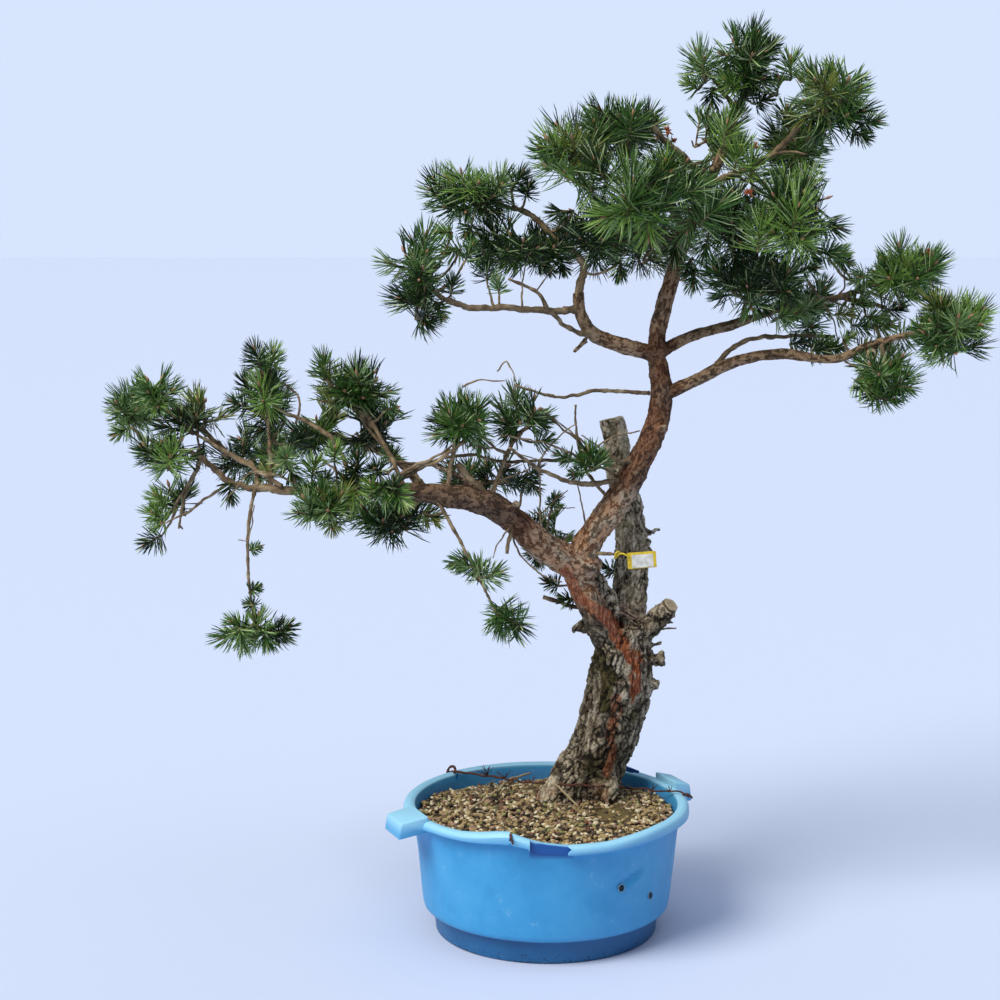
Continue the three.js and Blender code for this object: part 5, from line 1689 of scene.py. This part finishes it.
plastic, tree = newMaterial("blue_polythene")  # moulded, half shiny, chalky where the sun reached it
place = addNode(tree, "TexCoord").outputs["Object"]
split = addNode(tree, "SeparateXYZ", {"Vector": place})
level = addNode(tree, "Attribute", {"attribute_name": "level"}).outputs["Fac"]  # height before the tear
cloudy = addNode(tree, "TexNoise", {"Scale": 14, "Detail": 5, "Roughness": 0.6, "Vector": place})
streaky = addNode(tree, "Mapping", {"Scale": (60, 60, 9), "Vector": place})
runs = addNode(tree, "TexNoise", {"Scale": 1, "Detail": 4, "Vector": streaky})
skin = addNode(tree, "ValToRGB", {
    "Fac": cloudy, "stops": [(0.3, "#3091c9"), (0.5, "#3a9cd5"), (0.75, "#49a7dc")]})
flat = addNode(tree, "VectorMath", {"operation": "MULTIPLY", 0: place, 1: (1, 1, 0)})
radius = addNode(tree, "VectorMath", {"operation": "LENGTH", 0: flat})
lip, inner = [addNode(tree, "MapRange", {"From Min": start, "From Max": end, "Value": radius})
              for start, end in ((0.1992, 0.2006), (0.1918, 0.189))]
topped, rimTopLight, lower, high, band = [
    addNode(tree, "MapRange", {"From Min": start, "From Max": end, "Value": level})
    for start, end in ((0.186, 0.19), (0.176, 0.19), (0.189, 0.182), (0.163, 0.172), (0.19, 0.187))]
# the stretch of the rim that is gone, in metres across and in depth
stretch = addNode(tree, "Math", {"operation": "COMPARE", 0: split.outputs["X"], 1: 0.003, 2: 0.0302})
broken = addNode(tree, "Math", {"operation": "COMPARE", 0: split.outputs["Y"], 1: -0.19, 2: 0.0107})
gone = addNode(tree, "Math", {"operation": "MULTIPLY", 0: stretch, 1: broken})
kept = addNode(tree, "Math", {"operation": "SUBTRACT", 0: lip, 1: gone})
rim = addNode(tree, "Math", {"operation": "MAXIMUM", 0: kept, 1: topped})
# the rolled rim, paler than the body, is painted paler still towards its top and bluer below: a painted
# highlight on the roll
rolled = addNode(tree, "Mix", {"data_type": "RGBA", 0: rimTopLight, 6: "#56a8da", 7: "#97d2ef"})
inside = addNode(tree, "Math", {"operation": "MULTIPLY", 0: inner, 1: lower})
inside = addNode(tree, "Math", {"operation": "MULTIPLY", 0: inside, 1: high})
band = addNode(tree, "Math", {"operation": "MULTIPLY", 0: band, 1: high})
# where the rim is gone, the broken wall's top is painted deep blue as painted shade
deepBlue = addNode(tree, "Math", {"operation": "MULTIPLY", 0: gone, 1: band})
scuffs = addNode(tree, "TexNoise", {"Scale": 55, "Detail": 9, "Roughness": 0.75, "Vector": place})
scuffed = addNode(tree, "ValToRGB", {"Fac": scuffs, "stops": [(0.6, 0.0), (0.72, 0.55)]})
specks = addNode(tree, "TexNoise", {"Scale": 240, "Detail": 3, "Vector": place})
height = split.outputs["Z"]
# the foot, under the body's overhang, is multiplied darker as painted shade; low adds dirt towards the bottom
low, shadedFoot = [
    addNode(tree, "MapRange", {"From Min": start, "From Max": end, "To Max": most, "Value": height})
    for start, end, most in ((0.03, 0.0, 0.2), (0.040, 0.036, 0.85))]
dirty = addNode(tree, "Math", {"operation": "ADD", 0: specks, 1: low})
dirt = addNode(tree, "ValToRGB", {"Fac": dirty, "stops": [(0.75, 0.0), (0.8, 0.9)]})
for mask, blend, colour in ((rim, "MIX", rolled), (inside, "MIX", "#4690ce"), (deepBlue, "MIX", "#06509c"),
                            (scuffed, "MIX", "#9fc6e8"), (dirt, "MIX", "#2b3136"),
                            (shadedFoot, "MULTIPLY", "#568aa4")):
    skin = addNode(tree, "Mix", {"data_type": "RGBA", "blend_type": blend, 0: mask, 6: skin, 7: colour})
gloss = addNode(tree, "MapRange", {"To Min": 0.36, "To Max": 0.56, "Value": runs})
uneven = addNode(tree, "Bump", {"Strength": 0.25, "Distance": 0.0015, "Height": cloudy})
shader = addNode(tree, "BsdfPrincipled", {
    "Base Color": skin, "Roughness": gloss, "IOR": 1.5, "Normal": uneven})
addNode(tree, "OutputMaterial", {"Surface": shader})
tub.data.materials.clear()
tub.data.materials.append(plastic)
finishPiece(tub, "tub", "tub")

# Small things on the tub: worn rings round the drain holes, near-black balls in them as painted shade, and a
# flap where the rim split
flap = {"middle": (134, 150, 190), "size": (34, 3.4, 13), "turn": -48, "lean": 4, "bevel": 1}
rings, shadeBalls = [], []
for turn, height in drainHoles:
    angle, spot = wallSpot(turn, height, holeShape["ring"])
    deselectAll()
    bpy.ops.mesh.primitive_torus_add(
        major_segments=24, minor_segments=8, major_radius=5.6 * mm, minor_radius=0.8 * mm,
        location=spot, rotation=(0, math.radians(86), angle))
    rings.append(newestPiece("ring"))
    # a near-black ball inside each hole stands for the shade in it
    deselectAll()
    bpy.ops.mesh.primitive_ico_sphere_add(subdivisions=2, radius=6 * mm,
                                          location=wallSpot(turn, height, holeShape["shadeBall"])[1])
    shadeBalls.append(newestPiece("shadeBall"))
rings = joinedPieces("drain_rings", rings)
bpy.ops.object.shade_smooth()
shadeBalls = joinedPieces("drain_hole_shades", shadeBalls)
flapPiece = roundedBlock("rim_flap", *flap.values())
# the same plastic, scratched pale on the rings and unfaded on the flap; the balls in the holes are near black,
# painted shade
chalky = plainMaterial("chalky_polythene", {"Base Color": "#6f97b4", "Roughness": 0.6, "IOR": 1.5})
deepBlue = plainMaterial("unfaded_polythene", {"Base Color": "#1d5fae", "Roughness": 0.4, "IOR": 1.5})
shadeBlack = plainMaterial("painted_hole_shade", {"Base Color": "#15110d", "Roughness": 0.6})
for piece, finish, slotName in ((rings, chalky, "tub"), (shadeBalls, shadeBlack, "grit"), (flapPiece, deepBlue, "tub")):
    piece.data.materials.append(finish)
    finishPiece(piece, slotName)

# Grit: a bed of damp fines under loose stones of 5 to 9 mm, near black as painted shade in the gaps
gritShape = {
    "foot": 157.5,
    "floor": 7,
    "levels": [(28, 1.0), (46, 1.09), (soilTop - 5, 1.0985)],  # heights, and how much wider it gets at each
    "rings": 22,
    "radius": 189.5,
    "stones": 4300,
    "sizes": [(3.4, 5.6), (2.5, 3.8), (2.1, 3.2)],  # half of a stone, from the least to the most
    "uneven": (-0.22, 0.2),
    "lift": (0.0, 4.6),
    "mound": 2.5,
    "back": 8,  # how far the bed sinks towards the back
}
stoneKinds = {  # colour and share
    "straw": ("#9d885b", 0.22),
    "cream": ("#d6caaa", 0.14),
    "buff": ("#a68e66", 0.15),
    "brown": ("#69543a", 0.19),
    "dark": ("#332a1d", 0.17),
    "green": ("#85854f", 0.05),
    "pink": ("#9c7a6a", 0.05),
    "brick": ("#6b3f2f", 0.03),
}
mud = {"middle": (98, -18), "reach": 34, "height": 3.5, "stones": 0.3}

gritBed = startDisc("grit_bed", 96, gritShape["foot"], gritShape["floor"])
height = gritShape["floor"]
for nextHeight, share in gritShape["levels"]:
    raiseRing(height, nextHeight, share)
    height = nextHeight
for ring in range(gritShape["rings"]):
    bpy.ops.mesh.inset(thickness=8 * mm, depth=0)
closeShape()


def soilHeight(places):
    # a gentle mound towards the trunk, and a smooth muddy place in front of it
    middle = np.exp(-(norm(places[:, :2] - [60, 60], axis=1) / 90) ** 2)
    flat = np.column_stack([places[:, :2], np.zeros(len(places))])
    lower = gritShape["back"] * smoothStep(places[:, 1], 60, 165)
    return soilTop - 5 + gritShape["mound"] * middle + 3 * (softNoise(flat, 38, 71) - 0.5) - lower


points = pointsOf(gritBed)
top = points[:, 2] > soilTop - 6
points[top, 2] = soilHeight(points[top])
muddy = np.exp(-(norm((points[:, :2] - mud["middle"]) / [1, 1.5], axis=1) / mud["reach"]) ** 2)
points[top, 2] += muddy[top] * mud["height"]
setPoints(gritBed, points)
setAttribute(gritBed, "muddy", muddy)
shadedBed, tree = newMaterial("damp_shaded_fines")  # sand and rotted bark between the stones, damp and coloured near black as painted shade in the gaps
place = addNode(tree, "TexCoord").outputs["Object"]
grains = addNode(tree, "TexNoise", {"Scale": 380, "Detail": 6, "Roughness": 0.7, "Vector": place})
skin = addNode(tree, "ValToRGB", {
    "Fac": grains, "stops": [(0.35, "#100d09"), (0.55, "#261f14"), (0.75, "#423723")]})
muddyMask = addNode(tree, "Attribute", {"attribute_name": "muddy"}).outputs["Fac"]
silt = addNode(tree, "ValToRGB", {
    "Fac": grains, "stops": [(0.35, "#4d4021"), (0.55, "#7d6b3c"), (0.75, "#a28f5c")]})
skin = addNode(tree, "Mix", {"data_type": "RGBA", 0: muddyMask, 6: skin, 7: silt})
grain = addNode(tree, "Bump", {"Strength": 0.9, "Distance": 0.002, "Height": grains})
shader = addNode(tree, "BsdfPrincipled", {"Base Color": skin, "Roughness": 0.85, "Normal": grain})
addNode(tree, "OutputMaterial", {"Surface": shader})
gritBed.data.materials.append(shadedBed)
finishPiece(gritBed, "grit", "grit")

random = np.random.default_rng(seeds["stones"])
deselectAll()
bpy.ops.mesh.primitive_ico_sphere_add(subdivisions=1, radius=1, location=(0, 0, 0))
pebble = bpy.context.object
pebblePoints = pointsOf(pebble) * mm
pebbleFaces = np.array([face.vertices[:] for face in pebble.data.polygons])
bpy.data.objects.remove(pebble, do_unlink=True)
stoneCount = gritShape["stones"]
turns = random.uniform(0, 2 * math.pi, stoneCount)
reaches = np.sqrt(random.uniform(0, 1, stoneCount)) * (gritShape["radius"] - 4)
spots = np.column_stack([reaches * np.cos(turns), reaches * np.sin(turns), np.zeros(stoneCount)])
muddy = norm((spots[:, :2] - mud["middle"]) / [1, 1.5], axis=1) < mud["reach"]
spots = spots[~muddy | (random.uniform(0, 1, stoneCount) < mud["stones"])]
stoneCount = len(spots)
sizes = np.stack([random.uniform(*limits, stoneCount) for limits in gritShape["sizes"]], axis=1)
spots[:, 2] = soilHeight(spots) + random.uniform(*gritShape["lift"], stoneCount)
uneven = random.uniform(*gritShape["uneven"], (stoneCount, len(pebblePoints), 1))
stones = pebblePoints[None] * (1 + uneven) * sizes[:, None, :]
for first, second, spread in ((0, 2, 0.5), (1, 2, 0.5), (0, 1, math.pi)):
    angle = random.uniform(-spread, spread, stoneCount)[:, None]
    a, b = stones[..., first].copy(), stones[..., second].copy()
    stones[..., first] = a * np.cos(angle) - b * np.sin(angle)
    stones[..., second] = a * np.sin(angle) + b * np.cos(angle)
stones = stones + spots[:, None, :]
kinds = random.choice(len(stoneKinds), stoneCount, p=[share for colour, share in stoneKinds.values()])
for k, (kind, (hexColour, share)) in enumerate(stoneKinds.items()):
    # worn gravel: dull, with a little glassy grain
    stoneSkin = plainMaterial(kind + "_stone", {"Base Color": hexColour, "Roughness": 0.7})
    chosen = stones[kinds == k]
    faces = [repeatedFaces(pebbleFaces, len(pebblePoints), len(chosen))]
    piece = meshPiece("stones_" + kind, chosen.reshape(-1, 3), faces, stoneSkin, smooth=False)
    finishPiece(piece, "grit")
print("stones: ", stoneCount)

# Tie wires from the rim to the trunk and to the right lug, rusty, with a few dead needles caught in them
ties = {
    "left": ([[-146, 150, 190], [-138, 140, 193], [-68, 96, 196], [-4, 44, 202], [46, 24, 206],
              [86, 26, 204], [118, 42, 198]], [1.7, 1.5]),
    "right": ([[122, 84, 184], [150, 62, 188], [176, 40, 192], [200, 20, 196], [212, 12, 191]], [1.4, 1.3]),
    "left knot": ([[-150, 146, 186], [-148, 152, 195], [-140, 147, 199], [-136, 139, 194],
                   [-142, 138, 188]], [2.0, 1.9]),
    "torn end": ([[-54, -202, 202], [-53, -206, 199], [-51, -208.5, 194], [-50, -208.5, 190]],
                 [1.6, 2.2, 1.2]),
    "right knot": ([[204, 18, 193], [210, 10, 197], [216, 12, 190]], [1.8, 1.7]),
}
caughtNeedles = [  # where they are caught, how many and how far they stand out
    ((-88, 108, 197), 7, 22), ((-60, 90, 198), 5, 18), ((-20, 56, 202), 3, 12), ((160, 54, 190), 3, 12),
    ((186, 34, 193), 4, 12),
]
random = np.random.default_rng(seeds["ties"])
tieTubes = [roughTwig(lineThrough(places, 80), radii, random, 7) for places, radii in ties.values()]
for foot, count, spread in caughtNeedles:
    for k in range(count):
        heading = np.array([random.uniform(-1, 0.6), random.uniform(-0.4, 0.4), random.uniform(0.1, 0.9)])
        end = np.array(foot) + unit(heading) * spread * random.uniform(0.6, 1)
        tieTubes.append(roughTwig(np.array([foot, end]), [0.8, 0.4], random, 4))
# old iron, brown-red and dull all over
rust = mottledMaterial("rusty_tie_wire", 300, 5, [(0.35, "#2e1c16"), (0.55, "#5a3226"), (0.75, "#84503a")],
                       {"Roughness": 0.85})
finishPiece(meshPiece("tie_wires", *joinedShapes(tieTubes), rust), "twig_bark")

# Dead twigs and fallen needles on the grit
litterShape = {"needles": 26, "length": 34, "reach": (30, 175), "wall": 178}
deadSticks = [([[-112, -22, 183], [-76, 44, 189], [-50, 100, 194], [-22, 118, 197]], [2, 1.6]),
              ([[12, 32, 206], [30, 8, 196], [47, -14, 185]], [1.9, 1.4])]
random = np.random.default_rng(seeds["litter"])
litter = [roughTwig(lineThrough(places, 60), radii, random, 6) for places, radii in deadSticks]
for k in range(litterShape["needles"]):
    turn, reach = random.uniform(0, 2 * math.pi), random.uniform(*litterShape["reach"])
    foot = np.array([reach * math.cos(turn), reach * math.sin(turn), soilTop + 2.5])
    heading = random.uniform(0, 2 * math.pi)
    direction = np.array([math.cos(heading), math.sin(heading), random.uniform(-0.03, 0.08)])
    end = foot + direction * litterShape["length"]
    if norm(end[:2]) < litterShape["wall"]:
        litter.append(tubeAlong(np.array([foot, end]), [0.7, 0.5], 4, 12))
dead = plainMaterial("dead_twig", {"Base Color": "#a09070", "Roughness": 0.85})  # bleached, dry wood
finishPiece(meshPiece("fallen_twigs", *joinedShapes(litter), dead), "twig_bark")

# The tag: a blank yellow plate with a white label, on a strap round its spur
tagShape = {
    "middle": (138, 8, 548),
    "size": (42, 1.6, 24),
    "labelMiddle": (139, 6.9, 547),
    "labelSize": (31, 0.5, 19),
    "lean": -4,
    "loop": [[98, 5, 552], [100, 3, 559], [104, 6, 561], [105, 12, 556], [101, 13, 551], [98, 6, 551]],
    "strap": [[101, 6, 556], [110, 5, 558], [119, 6, 553]],
}
plate = roundedBlock("tag_plate", tagShape["middle"], tagShape["size"], 0, tagShape["lean"], 0.7)
label = roundedBlock("tag_label", tagShape["labelMiddle"], tagShape["labelSize"], 0, tagShape["lean"], 0.2)
straps = [tubeAlong(lineThrough(tagShape["loop"], 80), [1.3, 1.3], 7, 1.5),
          tubeAlong(lineThrough(tagShape["strap"], 40), [1.6, 1.2], 7, 1.5)]
# thin soft vinyl, even and slightly shiny, and a label of coated paper, matt
vinyl = mottledMaterial("yellow_vinyl", 160, 6, [(0.35, "#c9a81e"), (0.55, "#e8c92e"), (0.8, "#f0d648")],
                        {"Roughness": 0.4, "IOR": 1.53})
plate.data.materials.append(vinyl)
strap = meshPiece("tag_strap", *joinedShapes(straps), vinyl)
paperLabel = mottledMaterial("white_label", 120, 6, [(0.35, "#c9c7bd"), (0.6, "#ecebe4")], {"Roughness": 0.6})
label.data.materials.append(paperLabel)
for piece in (plate, label, strap):
    finishPiece(piece, "tag", "tag")
print("tag and ties done")


# The photograph's view, a pale floor and soft studio light

camera = bpy.data.cameras.new("camera")
camera.lens = view["focal"]
camera.sensor_width = view["sensor"]
camera.clip_end = 100
cameraPiece = addPiece("camera", camera)
cameraPiece.location = view["place"]
cameraPiece.rotation_euler = (math.radians(90 - view["pitch"]), 0, 0)
bpy.context.scene.camera = cameraPiece

deselectAll()
bpy.ops.mesh.primitive_plane_add(size=60, location=(0, 0, 0))
floor = newestPiece("floor")
floor.data.materials.append(plainMaterial("pale_floor_paper", {"Base Color": "#c5d1ea", "Roughness": 0.9}))
floor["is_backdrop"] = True

suns = {  # where the light comes from, its width in degrees, strength and tint
    "window": ((-1.0, -0.76, 1.35), 34, 3.1, "#fffaf0"),
    "ceiling": ((0.1, 0.0, 1.0), 80, 1.3, "#f0f5ff"),
}
for title, (spot, width, strength, tint) in suns.items():
    lamp = bpy.data.lights.new(title, "SUN")
    lamp.energy = strength
    lamp.angle = math.radians(width)
    lamp.color = linearOf(tint)[:3]
    addPiece(title, lamp).rotation_euler = Vector(spot).to_track_quat("Z", "Y").to_euler()

studio = bpy.data.worlds.new("studio")  # a bright backdrop that lights the tree less than it shows
studio.use_nodes = True
tree = studio.node_tree
tree.nodes.clear()
seen = addNode(tree, "LightPath").outputs["Is Camera Ray"]
brightness = addNode(tree, "MapRange", {"To Min": 0.2, "To Max": 1.0, "Value": seen})
backdrop = addNode(tree, "Background", {"Color": "#d7e5fd", "Strength": brightness})
addNode(tree, "OutputWorld", {"Surface": backdrop})
bpy.context.scene.world = studio
bpy.context.scene.view_settings.view_transform = "Standard"

sizes = {"cad": [list(corner) for corner in cadBounds], "visual": [list(corner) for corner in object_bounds()]}
